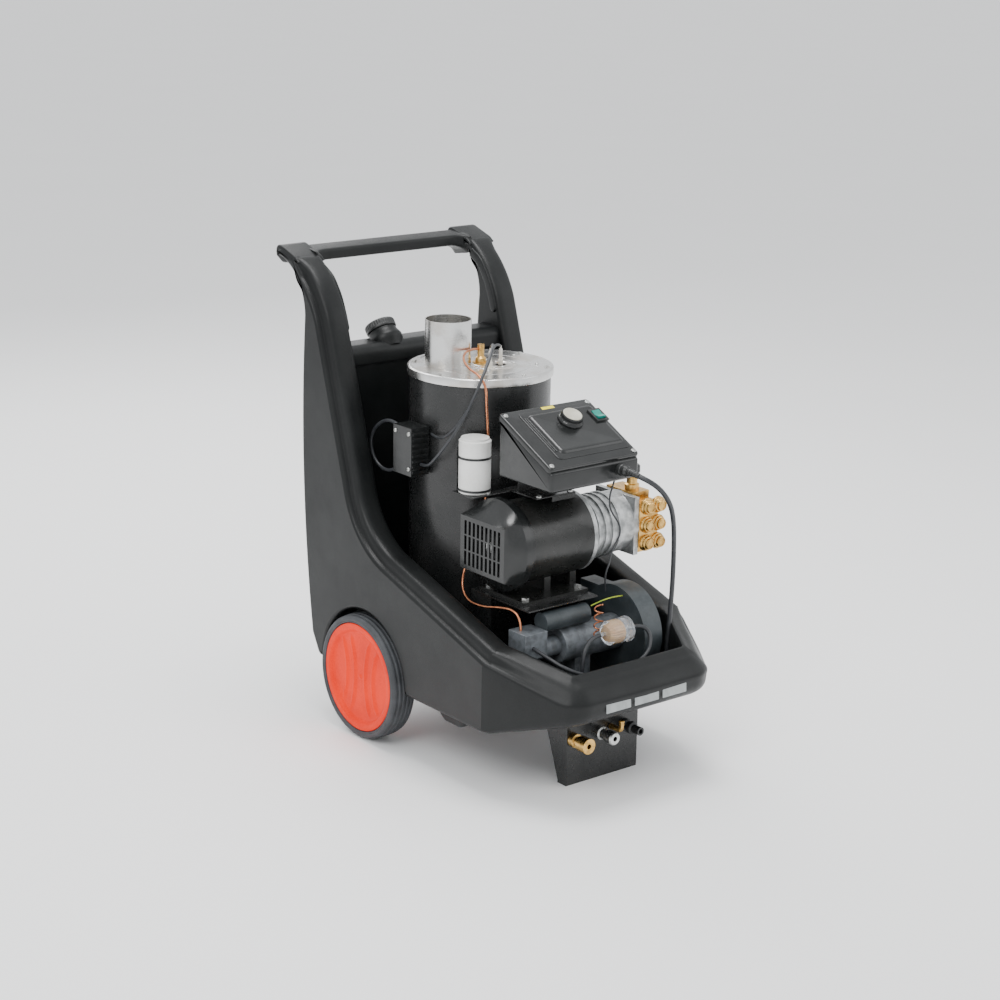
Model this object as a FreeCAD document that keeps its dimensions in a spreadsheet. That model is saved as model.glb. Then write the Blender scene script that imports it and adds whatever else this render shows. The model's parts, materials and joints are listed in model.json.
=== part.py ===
import FreeCAD, Part
import math
import os
import re
import Sketcher
from FreeCAD import Placement, Rotation, Vector

# Hot-water pressure washer with its hood off. Millimetres, +Z up, front towards -Y.
# The origin is on the floor, under the middle of the machine's length and width.

SIZES = {
    # chassis, a hollow moulding with two handle arms
    "half_length": 443, "half_width": 257, "rim_width": 65, "skin": 5,
    "bottom_height": 130, "floor_height": 165, "crest_front": 250, "crest_rear": 392,
    "arm_top": 975, "bar_depth": 38, "bar_height": 34, "tank_top": 783, "tank_depth": 76,
    "front_rim": 52, "neck_radius": 30, "neck_height": 24,
    # wheels
    "axle_back": 131, "axle_radius": 10, "tyre_radius": 130, "tyre_width": 58,
    "tyre_wall": 16, "wheel_face": 273, "arch_gap": 10, "web_thickness": 5,
    # connector bracket under the nose, which is also the front foot
    "bracket_half": 92, "bracket_front": 321, "bracket_depth": 70, "sheet": 4,
    "fitting_height": 95, "fitting_radius": 9, "fitting_reach": 48, "fitting_pitch": 67,
    # boiler
    "boiler_back": 83, "boiler_radius": 143, "boiler_top": 755, "boiler_wall": 2,
    "lid_radius": 148, "lid_skirt": 14, "chimney_radius": 47, "chimney_height": 94,
    "coil_gap": 25, "coil_wall": 21, "head_radius": 17, "head_height": 6,
    # motor and pump, on one axis along X
    "motor_front": 144, "motor_height": 455, "motor_radius": 82, "motor_end": 49,
    "frame_wall": 6, "shaft_radius": 12, "cowl_start": -170, "cowl_end": -112, "cowl_skin": 3,
    "grille_half": 68, "grille_low": 54, "cowl_rim": 11, "crank_radius": 62, "crank_length": 135,
    "crank_wall": 9,
    "head_length": 66, "head_width": 124, "head_tall": 128,
    # sheet-metal deck that carries the motor
    "deck_height": 350, "deck_left": -140, "deck_right": 36, "deck_front": 254, "deck_rear": 75,
    # control box over the motor
    "box_width": 225, "box_middle": -10, "box_front": 289, "box_rear": 129, "box_bottom": 588,
    "box_front_top": 636, "box_rear_top": 715, "box_wall": 3, "knob_radius": 22, "knob_height": 17,
    # burner unit in the tub, on one axis along X
    "burner_front": 240, "burner_height": 263, "blower_radius": 94, "blower_left": 92,
    "blower_width": 46, "burner_motor_radius": 36, "filter_radius": 24, "filter_length": 62,
    # fits
    "running_gap": 0.05, "seat_gap": 0.3, "moving_gap": 2,
}

doc = FreeCAD.newDocument("pressure_washer")
sheet = doc.addObject("Spreadsheet::Sheet", "sizes")
for row, (alias, number) in enumerate(SIZES.items(), 1):
    sheet.set(f"A{row}", alias)
    sheet.set(f"B{row}", str(number))
    sheet.setAlias(f"B{row}", alias)
doc.recompute()

nodes = []


def formula(text):
    """An expression with each size's name led by the sheet's."""
    return re.sub(r"[a-z_]+[a-z]", lambda m: f"sizes.{m[0]}" if m[0] in SIZES else m[0], str(text))


def value(text):
    """The number that a formula of sizes comes to."""
    return float(sheet.evalExpression(formula(text)))


def bind(piece, **sizes):
    for name, text in sizes.items():
        piece.setExpression(name, formula(text))


def put(piece, at, turn=None):
    """Places a piece: its position is bound to the sheet, its turn is fixed."""
    piece.Placement = Placement(Vector(0, 0, 0), turn or Rotation())
    for axis, text in zip("xyz", at):
        piece.setExpression(f"Placement.Base.{axis}", formula(text))
    return piece


def node(label, piece):
    """Names a finished sub-part."""
    piece.Label = label
    nodes.append(piece)
    return piece


ALONG_X = Rotation(Vector(0, 1, 0), 90)
ALONG_Y = Rotation(Vector(1, 0, 0), -90)
TO_FRONT = Rotation(Vector(1, 0, 0), 90)


def rod(at, radius, length, turn=None):
    piece = doc.addObject("Part::Cylinder", "rod")
    bind(piece, Radius=radius, Height=length)
    return put(piece, at, turn)


def block(low, size):
    """A box from its lowest corner and its three sizes."""
    piece = doc.addObject("Part::Box", "block")
    bind(piece, Length=size[0], Width=size[1], Height=size[2])
    return put(piece, low)


def hexagon(at, radius, length, turn=None):
    piece = doc.addObject("Part::Prism", "hexagon")
    piece.Polygon = 6
    bind(piece, Circumradius=radius, Height=length)
    return put(piece, at, turn)


def fuse(*pieces):
    whole = doc.addObject("Part::MultiFuse", "fused")
    whole.Shapes = list(pieces)
    return whole


def cut(base, *tools):
    whole = doc.addObject("Part::Cut", "cut")
    whole.Base = base
    whole.Tool = tools[0] if len(tools) == 1 else fuse(*tools)
    return whole


def group(*pieces):
    """Like pieces that stay separate solids."""
    whole = doc.addObject("Part::Compound", "group")
    whole.Links = list(pieces)
    return whole


def tube(at, outer, inner, length, turn=None):
    return cut(rod(at, outer, length, turn), rod(at, inner, length, turn))


def sketch_in(body, role, points):
    """A closed outline of straight sides in one of the body's own planes."""
    plane = next(f for f in body.Origin.OriginFeatures if f.Role == role)
    sketch = body.newObject("Sketcher::SketchObject", "outline")
    sketch.AttachmentSupport = [(plane, "")]
    sketch.MapMode = "FlatFace"
    corners = [Vector(value(a), value(b), 0) for a, b in points]
    for start, end in zip(corners, corners[1:] + corners[:1]):
        sketch.addGeometry(Part.LineSegment(start, end), False)
    for index in range(len(points)):
        following = (index + 1) % len(points)
        sketch.addConstraint(Sketcher.Constraint("Coincident", index, 2, following, 1))
    for index, pair in enumerate(points):
        for kind, text in zip(("DistanceX", "DistanceY"), pair):
            rule = Sketcher.Constraint(kind, -1, 1, index, 1, value(text))
            place = sketch.addConstraint(rule)
            sketch.setExpression(f"Constraints[{place}]", formula(text))
    return sketch


def turned(at, points, turn=None):
    """A body of revolution: each point is (radius, height along the axis)."""
    body = doc.addObject("PartDesign::Body", "turned")
    sketch = sketch_in(body, "XZ_Plane", points)
    feature = body.newObject("PartDesign::Revolution", "revolution")
    feature.Profile = sketch
    feature.ReferenceAxis = (sketch, ["V_Axis"])
    feature.Angle = 360
    return put(body, at, turn)


def padded(at, points, thickness, turn=None, role="XY_Plane"):
    """A flat outline given a thickness."""
    body = doc.addObject("PartDesign::Body", "padded")
    sketch = sketch_in(body, role, points)
    feature = body.newObject("PartDesign::Pad", "pad")
    feature.Profile = sketch
    feature.setExpression("Length", formula(thickness))
    return put(body, at, turn)


def shaped(shape):
    """A piece whose solid is worked out in this file."""
    piece = doc.addObject("Part::Feature", "shaped")
    piece.Shape = shape
    return piece


def cord(points, diameter, fewest=3.0):
    """A round cord: straight runs joined by tangent arcs, each as large as its two runs allow."""
    spots = [Vector(*p) for p in points]
    runs = [b - a for a, b in zip(spots, spots[1:])]
    edges = []
    start = spots[0]
    radii = []
    for spot, before, after in zip(spots[1:], runs, runs[1:]):
        turn = before.getAngle(after)
        trim = 0.45 * min(before.Length, after.Length)
        radii.append(trim / math.tan(turn / 2))
        ahead = Vector(before).normalize()
        onward = Vector(after).normalize()
        first = spot - ahead * trim
        last = spot + onward * trim
        inward = (onward - ahead).normalize()
        middle = spot + inward * (trim / math.sin(turn / 2) - radii[-1])
        edges.append(Part.LineSegment(start, first).toShape())
        edges.append(Part.Arc(first, middle, last).toShape())
        start = last
    edges.append(Part.LineSegment(start, spots[-1]).toShape())
    path = Part.Wire(edges)
    disc = Part.Wire(Part.makeCircle(diameter / 2, spots[0], runs[0]))
    solid = path.makePipeShell([disc], True, False)
    expected = math.pi * diameter ** 2 / 4 * path.Length
    print("cord radii", [round(r) for r in radii], "least", round(min(radii) / diameter, 1), "diameters,",
          "length", round(path.Length), "volume ratio", round(solid.Volume / expected, 4))
    if min(radii) < fewest * diameter:
        raise ValueError("a cord turns too sharply")
    return shaped(solid)


bracket_bolt_places = [(x, y) for x in ("-bracket_half + 22", "bracket_half - 22") for y in ("-265", "-245")]

# ---- chassis ----

def chassis():
    """Two hollow side walls that rise into the handle arms, the tub between them, the tank at the
    rear, the crossbar, the wheel arches and the filler neck. The cavity is the same form, one skin
    smaller."""
    half = value("half_length")
    width = value("half_width")
    rim = value("rim_width")
    skin = value("skin")
    base = value("bottom_height")
    top = value("arm_top")
    nose = value("crest_front")
    knee = value("crest_rear")
    floor = value("floor_height")
    tank = value("tank_top")
    rear = half - 105
    tank_front = rear - value("tank_depth")
    rim_rear = -(half - value("front_rim"))

    def line(a, b):
        return Part.LineSegment(Vector(0, *a), Vector(0, *b)).toShape()

    def arc(a, b, c):
        return Part.Arc(Vector(0, *a), Vector(0, *b), Vector(0, *c)).toShape()

    underside = [
        line((rear - 47, base), (-half + 169, base)),
        line((-half + 169, base), (-half + 14, base + 42)),
    ]
    nose_edges = [
        line((-half + 14, base + 42), (-half, nose - 33)),
        line((-half, nose - 33), (-half + 19, nose - 10)),
        line((-half + 19, nose - 10), (-half + 34, nose)),
    ]
    side_edges = underside + nose_edges + [
        line((-half + 34, nose), (43, knee)),
        arc((43, knee), (122, knee + 43), (172, knee + 133)),
        line((172, knee + 133), (272, top - 130)),
        arc((272, top - 130), (308, top - 70), (half - 73, top - 15)),
        line((half - 73, top - 15), (half - 13, top)),
        line((half - 13, top), (half, top - 17)),
        arc((half, top - 17), (half - 83, top - 62), (rear, top - 131)),
        arc((rear, top - 131), (rear + 8, 500), (rear - 22, base + 45)),
        line((rear - 22, base + 45), (rear - 47, base)),
    ]
    tub_edges = underside + nose_edges + [
        line((-half + 34, nose), (rim_rear, nose + 13)),
        line((rim_rear, nose + 13), (rim_rear + 12, floor + 20)),
        line((rim_rear + 12, floor + 20), (rim_rear + 32, floor)),
        line((rim_rear + 32, floor), (tank_front - 20, floor)),
        line((tank_front - 20, floor), (tank_front, floor + 20)),
        line((tank_front, floor + 20), (tank_front, tank - 12)),
        line((tank_front, tank - 12), (tank_front + 12, tank)),
        line((tank_front + 12, tank), (rear - 12, tank)),
        line((rear - 12, tank), (rear, tank - 12)),
        line((rear, tank - 12), (rear, 500)),
        arc((rear, 500), (rear - 2, 345), (rear - 22, base + 45)),
        line((rear - 22, base + 45), (rear - 47, base)),
    ]
    bar_rear = half - 13
    bar_low = top - value("bar_height")
    bar_front = bar_rear - value("bar_depth")
    bar_edges = [
        line((bar_rear, top), (bar_rear, bar_low)),
        line((bar_rear, bar_low), (bar_front, bar_low - 4)),
        line((bar_front, bar_low - 4), (bar_front, top - 8)),
        line((bar_front, top - 8), (bar_rear, top)),
    ]
    corner = half - 174
    plan = Part.Wire([
        Part.LineSegment(Vector(width, half), Vector(width, -corner)).toShape(),
        Part.LineSegment(Vector(width, -corner), Vector(width - 66, -half + 38)).toShape(),
        Part.Arc(Vector(width - 66, -half + 38), Vector(width - 84, -half + 11),
                 Vector(width - 112, -half)).toShape(),
        Part.LineSegment(Vector(width - 112, -half), Vector(112 - width, -half)).toShape(),
        Part.Arc(Vector(112 - width, -half), Vector(84 - width, -half + 11),
                 Vector(66 - width, -half + 38)).toShape(),
        Part.LineSegment(Vector(66 - width, -half + 38), Vector(-width, -corner)).toShape(),
        Part.LineSegment(Vector(-width, -corner), Vector(-width, half)).toShape(),
        Part.LineSegment(Vector(-width, half), Vector(width, half)).toShape(),
    ])

    def prism(edges, inset, start, length):
        wire = Part.Wire(Part.__sortEdges__(edges))
        face = Part.Face(wire)
        if inset:
            face = face.makeOffset2D(-inset)
        face.translate(Vector(start, 0, 0))
        return face.extrude(Vector(length, 0, 0))

    def form(inset):
        """The whole chassis, smaller by inset on every face."""
        wall = rim - 2 * inset
        between = 2 * (width - rim + inset)
        left = prism(side_edges, inset, -width + inset, wall)
        right = prism(side_edges, inset, width - rim + inset, wall)
        tub = prism(tub_edges, inset, -between / 2, between)
        whole = left.fuse([right, tub])
        if not inset:
            bar = prism(bar_edges, 0, -between / 2, between)
            whole = whole.fuse(bar)
        outline = Part.Face(plan)
        if inset:
            outline = outline.makeOffset2D(-inset)
        return whole.common(outline.extrude(Vector(0, 0, top + 10)))

    axle = Vector(0, value("axle_back"), value("tyre_radius"))
    arch = value("tyre_radius + arch_gap")
    arch_face = value("wheel_face - tyre_width - moving_gap * 3")

    def across(radius, start, end):
        return Part.makeCylinder(radius, end - start, axle + Vector(start, 0, 0), Vector(1, 0, 0))

    outer = form(0)
    cavity = form(skin)
    reach = width + 20
    for side in (-1, 1):
        low, high = sorted((side * arch_face, side * reach))
        outer = outer.cut(across(arch, low, high))
        low, high = sorted((side * (width - rim), side * reach))
        cavity = cavity.cut(across(arch + skin, low, high))
    bore = value("axle_radius + seat_gap")
    outer = outer.fuse([across(26, -arch_face, arch_face), sump_bump()])
    outer = outer.cut(across(bore, -reach, reach))
    for x, y in bracket_bolt_places:
        spot = Vector(value(x), value(y), base - 5)
        outer = outer.cut(Part.makeCylinder(3.3, 18, spot))
        cavity = cavity.cut(Part.makeCylinder(9, 24, spot))
    cavity = cavity.cut(across(bore + skin, -reach, reach))
    neck = neck_place()
    collar = Part.makeCone(value("neck_radius + 8"), value("neck_radius"), value("neck_height + 22"))
    collar.Placement = neck.multiply(Placement(Vector(0, 0, -22), Rotation()))
    mouth = Part.makeCylinder(value("neck_radius - skin"), value("neck_height + 42"))
    mouth.Placement = neck.multiply(Placement(Vector(0, 0, -42), Rotation()))
    solid = outer.fuse(collar).cut([cavity, mouth]).removeSplitter()
    return solid.Solids[0] if len(solid.Solids) == 1 else solid


def sump_bump():
    """A moulded rest under the left side, ahead of the wheel."""
    low = value("bottom_height") - 36
    edges = [(-72, low + 40), (-86, low + 8), (-100, low), (-142, low), (-156, low + 8), (-170, low + 40)]
    corners = [Vector(-222, y, z) for y, z in edges]
    return Part.Face(Part.makePolygon(corners + corners[:1])).extrude(Vector(66, 0, 0))


def neck_place():
    """The middle of the filler neck's foot, with Z along the neck."""
    back = value("half_length - 105 - tank_depth / 2")
    return Placement(Vector(-78, back, value("tank_top - 6")), Rotation(Vector(1, 0, 0), -38))


node("chassis", shaped(chassis()))


# ---- wheels and axle ----

node("axle", rod(("-wheel_face + 12", "axle_back", "tyre_radius"), "axle_radius",
                 "2 * wheel_face - 24", ALONG_X))


def wheel(side, label):
    """A crowned rubber tyre on a dished plastic rim; side is -1 for left and 1 for right."""
    turn = Rotation(Vector(0, 1, 0), 90 * side)
    at = (f"{side} * (wheel_face - tyre_width)", "axle_back", "tyre_radius")
    bead = "tyre_radius - tyre_wall"
    node(f"tyre_{label}", turned(at, [
        (bead, "3"), ("tyre_radius - 7", "0"), ("tyre_radius - 1.5", "6"), ("tyre_radius", "tyre_width / 2"),
        ("tyre_radius - 1.5", "tyre_width - 8"), ("tyre_radius - 7", "tyre_width - 2"),
        (bead, "tyre_width - 5"),
    ], turn))
    bore = "axle_radius + running_gap"
    dish = "tyre_width - 12 - web_thickness"
    node(f"rim_{label}", turned(at, [
        (bore, "1"), ("24", "1"), ("24", dish), (f"{bead} - 31", dish), (f"{bead} - 20", f"{dish} + 8"),
        (f"{bead} - 6", f"{dish} + 8"), (f"{bead} - 6", "4"), (bead, "4"), (bead, "tyre_width - 6"),
        (f"{bead} - 8", "tyre_width"), (f"{bead} - 17", "tyre_width - 3"),
        (f"{bead} - 30", "tyre_width - 12"), ("26", "tyre_width - 12"), ("20", "tyre_width - 5"),
        ("0", "tyre_width - 5"), ("0", "tyre_width - 10"), (bore, "tyre_width - 10"),
    ], turn))


wheel(-1, "left")
wheel(1, "right")

clip_start = "wheel_face - tyre_width - 3.3"
node("axle_clips", group(*[
    tube((f"{start}", "axle_back", "tyre_radius"), "axle_radius + 8", "axle_radius", "3", ALONG_X)
    for start in (clip_start, f"-({clip_start}) - 3")
]))

# ---- connector bracket and its fittings ----

front_plate = block(("-bracket_half", "-bracket_front", "0"), ("2 * bracket_half", "sheet", "bottom_height"))
foot_flange = block(("-bracket_half", "-bracket_front", "0"), ("2 * bracket_half", "26", "sheet"))
top_flange = block(("-bracket_half", "sheet - bracket_front", "bottom_height - sheet"),
                   ("2 * bracket_half", "bracket_depth + 20", "sheet"))
cheek = [("0", "0"), ("24", "0"), ("bracket_depth", "bottom_height - sheet"),
         ("0", "bottom_height - sheet")]
UPRIGHT = Rotation(Vector(1, 1, 1), 120)
cheeks = [padded((f"{start}", "-bracket_front", "0"), cheek, "sheet", UPRIGHT)
          for start in ("-bracket_half", "bracket_half - sheet")]
fitting_places = ["-fitting_pitch - 10", "-10", "fitting_pitch - 10"]
fitting_holes = [rod((x, "-bracket_front + 2 * sheet", "fitting_height"), "fitting_radius + seat_gap",
                     "4 * sheet", TO_FRONT) for x in fitting_places]
bracket_bolt_holes = [rod((x, y, "bottom_height - 4 * sheet"), "3.3", "4 * sheet")
                      for x, y in bracket_bolt_places]
node("connector_bracket", cut(fuse(front_plate, foot_flange, top_flange, *cheeks),
                              *fitting_holes, *bracket_bolt_holes))


def bolt(at, head, shank, length, turn=None):
    """A hexagon-head bolt: the head starts at the place and the shank runs back from it."""
    stem_at = FreeCAD.Vector(0, 0, -length)
    body = doc.addObject("PartDesign::Body", "bolt")
    stem = body.newObject("PartDesign::AdditiveCylinder", "shank")
    stem.Radius = shank
    stem.Height = length
    stem.Placement.Base = stem_at
    top = body.newObject("PartDesign::AdditivePrism", "head")
    top.Polygon = 6
    top.Circumradius = head
    top.Height = head * 0.7
    return put(body, at, turn)


UPSIDE_DOWN = Rotation(Vector(1, 0, 0), 180)
node("bracket_bolts", group(*[bolt((x, y, "bottom_height - sheet"), 6, 3, 14, UPSIDE_DOWN)
                              for x, y in bracket_bolt_places]))


def fitting(label, x, steps):
    """A pipe fitting through the bracket: steps are (radius, distance in front of the plate) in order,
    with a through bore; it ends behind the plate."""
    outline = [("5", "-30"), ("fitting_radius", "-30"), ("fitting_radius", "0.3")]
    for radius, reach in steps:
        outline.append((radius, reach))
    outline.append(("5", steps[-1][1]))
    return node(label, turned((x, "-bracket_front", "fitting_height"), outline, TO_FRONT))


fitting("water_inlet", fitting_places[0], [
    ("14", "0.3"), ("14", "12"), ("10.5", "14"), ("10.5", "22"), ("15.5", "24"), ("15.5", "fitting_reach")])
fitting("pressure_outlet", fitting_places[1], [
    ("13", "0.3"), ("13", "10"), ("10", "12"), ("10", "fitting_reach - 22"), ("13.5", "fitting_reach - 20"),
    ("13.5", "fitting_reach - 3"), ("11.5", "fitting_reach")])
fitting("detergent_barb", fitting_places[2], [
    ("13", "0.3"), ("13", "9"), ("10", "11"), ("10", "15"), ("12.5", "17"), ("12.5", "fitting_reach - 22"),
    ("8.5", "fitting_reach - 20"), ("8.5", "fitting_reach")])

# ---- boiler ----

centre = ("0", "boiler_back")
shell = turned((*centre, "floor_height"), [
    ("boiler_radius - 40", "0"), ("boiler_radius + 6", "0"), ("boiler_radius + 6", "boiler_wall"),
    ("boiler_radius", "boiler_wall"), ("boiler_radius", "boiler_top - floor_height - boiler_wall"),
    ("boiler_radius - boiler_wall", "boiler_top - floor_height - boiler_wall"),
    ("boiler_radius - boiler_wall", "boiler_wall * 2"), ("boiler_radius - 40", "boiler_wall * 2"),
])
node("boiler_shell", shell)
coil_foot = (*centre, "floor_height + 2 * boiler_wall + 20")
coil_tall = "boiler_top - floor_height - 90"
coil_radius = "boiler_radius - coil_gap"
coil_inside = f"{coil_radius} - coil_wall"
coil_feet = [block((x, "boiler_back - 5", "floor_height + 2 * boiler_wall"), ("12", "10", "20"))
             for x in (f"{coil_radius} - 16", f"4 - ({coil_radius})")]
node("heating_coil", fuse(tube(coil_foot, coil_radius, f"{coil_radius} - 3", coil_tall),
                          tube(coil_foot, f"{coil_inside} + 3", coil_inside, coil_tall),
                          tube(coil_foot, coil_radius, coil_inside, "3"), *coil_feet))
lid_disc = turned((*centre, "boiler_top - boiler_wall"), [
    ("0", "0"), ("boiler_radius + 1", "0"), ("boiler_radius + 1", "-lid_skirt"), ("lid_radius", "-lid_skirt"),
    ("lid_radius", "2"), ("lid_radius - 2", "4"), ("0", "4"),
])
flue = ("-0.3776 * boiler_radius", "boiler_back + 0.2657 * boiler_radius")
node("boiler_lid", cut(lid_disc,
                       rod((*flue, "boiler_top - 20"), "chimney_radius - 1.5", "40"),
                       rod((*centre, "boiler_top - 20"), "14", "40")))
node("chimney", tube((*flue, "boiler_top + 2"), "chimney_radius", "chimney_radius - 1.5", "chimney_height"))
node("burner_head", turned((*centre, "boiler_top + 2"), [
    ("0", "-40"), ("12", "-40"), ("12", "0"), ("head_radius", "0"), ("head_radius", "head_height"),
    ("11", "head_height"), ("11", "head_height + 8"), ("7", "head_height + 12"), ("7", "head_height + 36"),
    ("0", "head_height + 36"),
]))
electrode_places = [("22", "boiler_back - 37"), ("-12", "boiler_back - 46")]
node("ignition_electrodes", group(*[
    turned((x, y, "boiler_top + 2"), [
        ("0", "0"), ("11", "0"), ("11", "4"), ("5", "4"), ("5", "14"), ("3.5", "16"), ("3.5", "36"),
        ("1.5", "38"), ("1.5", "43"), ("0", "43")])
    for x, y in electrode_places]))
lid_ring = [math.radians(a) for a in range(15, 360, 60)]
bolt_ring = "(boiler_radius - 8)"
node("lid_bolts", group(*[
    hexagon((f"{math.cos(a):.4f} * {bolt_ring}", f"boiler_back + {math.sin(a):.4f} * {bolt_ring}",
             "boiler_top + 2"), "5", "4") for a in lid_ring]))


# ---- deck, motor and pump ----

axis = ("-motor_front", "motor_height")
deck_wide = "deck_right - deck_left"
deck_deep = "deck_front - deck_rear"
deck_corner = ("deck_left", "-deck_front")
leg_tall = "deck_height - floor_height"
deck_top = block((*deck_corner, "deck_height - 3"), (deck_wide, deck_deep, "3"))
deck_legs = [block((x, "-deck_rear - 60", "floor_height"), ("3", "60", leg_tall))
             for x in ("deck_left", "deck_right - 3")]
deck_feet = [block((x, "-deck_rear - 60", "floor_height"), ("25", "60", "3"))
             for x in ("deck_left", "deck_right - 25")]
foot_bolts = [(x, y) for x in ("-110", "24") for y in ("-motor_front - 62", "-motor_front + 50")]
foot_holes = [rod((x, y, "deck_height - 10"), "4.3", "20") for x, y in foot_bolts]
node("motor_deck", cut(fuse(deck_top, *deck_legs, *deck_feet), *foot_holes))

barrel = rod(("cowl_end", *axis), "motor_radius", "motor_end - cowl_end", ALONG_X)
cradle_low = "deck_height + 5"
cradle_tall = "motor_height - motor_radius - deck_height + 15"
cradles = [block((x, "-motor_front - 38", cradle_low), ("16", "76", cradle_tall)) for x in ("-42", "24")]
foot_plate = block(("-124", "-motor_front - 76", "deck_height"), ("164", "140", "5"))
hollow = rod(("cowl_end - 1", *axis), "motor_radius - frame_wall", "motor_end - cowl_end + 2", ALONG_X)
plate_holes = [rod((x, y, "deck_height - 10"), "4.3", "20") for x, y in foot_bolts]
saddle_top = "motor_height + motor_radius + 4"
terminal = block(("-20", "-motor_front - 30", f"{saddle_top} - 14"), ("60", "60", "14"))
node("motor_frame", cut(fuse(barrel, *cradles, foot_plate, terminal), hollow, *plate_holes))
node("motor_bolts", group(*[bolt((x, y, "deck_height + 5"), 8, 4, 14) for x, y in foot_bolts]))
node("stator", tube(("-70", *axis), "motor_radius - frame_wall", "52", "88", ALONG_X))
shields = [tube((x, *axis), "motor_radius - frame_wall", "20", "8", ALONG_X)
           for x in ("cowl_end + 1", "motor_end - 9")]
node("end_shields", group(*shields))
node("motor_bearings", group(*[
    tube((x, *axis), "20", "shaft_radius + running_gap", "8", ALONG_X)
    for x in ("cowl_end + 1", "motor_end - 9")]))
shaft_end = "motor_end + crank_length - 66"
shaft = rod(("cowl_start + 18", *axis), "shaft_radius", f"{shaft_end} - cowl_start - 18", ALONG_X)
node("motor_shaft", shaft)
node("rotor_core", tube(("-70", *axis), "50", "shaft_radius", "88", ALONG_X))
fan_hub = tube(("cowl_start + 24", *axis), "26", "shaft_radius", "26", ALONG_X)
fan_disc = tube(("cowl_start + 46", *axis), "56", "shaft_radius", "4", ALONG_X)
blades = []
for step in range(8):
    blade = block(("cowl_start + 24", "-motor_front", "motor_height"), ("24", "2.5", "54"))
    blade.Placement.Rotation = Rotation(Vector(1, 0, 0), 45 * step)
    blades.append(blade)
fan = cut(fuse(fan_hub, fan_disc, *blades), rod(("cowl_start + 10", *axis), "shaft_radius", "50", ALONG_X))
node("cooling_fan", fan)


def cowl(inset):
    """The cowl's body, smaller by inset: its square face widens to a round rim, and the rim runs on."""
    start = value("cowl_start") + inset
    rim_start = value("cowl_start") + 38
    rim_end = value("cowl_end") - 4 - inset
    half = value("grille_half") - inset
    low = value("grille_low") - inset
    radius = value("motor_radius + cowl_rim") - inset
    middle = Vector(0, -value("motor_front"), value("motor_height"))
    corners = [middle + Vector(start, y, z)
               for y, z in ((half, -low), (half, low), (-half, low), (-half, -low))]
    face = Part.makePolygon(corners + corners[:1])
    arcs = []
    for quarter in range(-1, 7, 2):
        ends = [math.radians(45 * (quarter + step)) for step in (0, 1, 2)]
        spots = [middle + Vector(rim_start, radius * math.cos(a), radius * math.sin(a)) for a in ends]
        arcs.append(Part.Arc(*spots).toShape())
    bell = Part.makeLoft([face, Part.Wire(arcs)], True, True)
    rim_middle = middle + Vector(rim_start, 0, 0)
    return bell.fuse(Part.makeCylinder(radius, rim_end - rim_start, rim_middle, Vector(1, 0, 0)))


CROSSWISE = Rotation(Vector(1, 1, 1), 120)
slots = []
for column in range(-4, 5):
    for level in (-45, -14, 17):
        slot_at = ("cowl_start - 1", f"-motor_front + {column} * 13 - 3.5", f"motor_height + {level}")
        slots.append(block(slot_at, ("6", "7", "28")))
cowl_seat = rod(("cowl_end - 12", *axis), "motor_radius + seat_gap", "20", ALONG_X)
cowl_collar = tube(("cowl_end - 6", *axis), "motor_radius + 3", "motor_radius + seat_gap", "14", ALONG_X)
cowl_body = cut(shaped(cowl(0)), shaped(cowl(value("cowl_skin"))), cowl_seat, *slots)
node("fan_cowl", fuse(cowl_body, cowl_collar))

crank_start = "motor_end"
crank = fuse(
    rod((crank_start, *axis), "motor_radius", "10", ALONG_X),
    rod((crank_start, *axis), "crank_radius", "crank_length", ALONG_X),
    *[rod((f"motor_end + {x}", *axis), "crank_radius + 4", "5", ALONG_X) for x in (26, 44, 62, 80)],
    block(("motor_end + crank_length - 12", "-motor_front - 60", "motor_height - 60"), ("12", "120", "120")),
)
crank_void = rod(("motor_end - 1", *axis), "crank_radius - crank_wall", "crank_length - 25", ALONG_X)
plunger_ring = [math.radians(a) for a in (90, 210, 330)]
plunger_spots = [(f"-motor_front + {math.cos(a):.4f} * 30", f"motor_height + {math.sin(a):.4f} * 30")
                 for a in plunger_ring]
plunger_start = "motor_end + crank_length - 46"
bore_start = "motor_end + crank_length - 30"
crank_bores = [rod((bore_start, *spot), "9 + running_gap", "40", ALONG_X) for spot in plunger_spots]
node("crankcase", cut(crank, crank_void, *crank_bores))
wobble = rod((f"{shaft_end} - 20", *axis), "44", "14", ALONG_X)
wobble.Placement.Rotation = Rotation(Vector(0, 1, 0), 97)
node("swash_plate", cut(fuse(wobble, rod((f"{shaft_end} - 24", *axis), "20", "24", ALONG_X)),
                        rod((f"{shaft_end} - 60", *axis), "shaft_radius", "60", ALONG_X)))
node("plungers", group(*[rod((plunger_start, *spot), "9", "70", ALONG_X) for spot in plunger_spots]))
head_start = "motor_end + crank_length"
head_block = fuse(
    block((head_start, "-motor_front - head_width / 2", "motor_height - head_tall / 2 + 18"),
          ("head_length - 16", "head_width", "head_tall - 36")),
    block((head_start, "-motor_front - head_width / 2 + 22", "motor_height - head_tall / 2"),
          ("head_length - 22", "head_width - 44", "head_tall")),
    rod((f"{head_start}", *axis), "38", "head_length", ALONG_X),
)
head_bores = [rod((f"{head_start} - 5", *spot), "9 + running_gap", "42", ALONG_X) for spot in plunger_spots]
cap_spots = [(f"-motor_front + {y} * head_width / 2", f"motor_height + {z} * head_width / 4")
             for y in (-0.62, 0.62) for z in (-1, 0, 1)]
valve_caps = [hexagon((f"{head_start} + head_length - 16", *spot), "12", "9", ALONG_X) for spot in cap_spots]
node("pump_head", cut(fuse(head_block, *valve_caps), *head_bores))
valve_top = "motor_height + head_tall / 2"
valve_at = (f"{head_start} + 22", "-motor_front - 12", valve_top)
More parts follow.
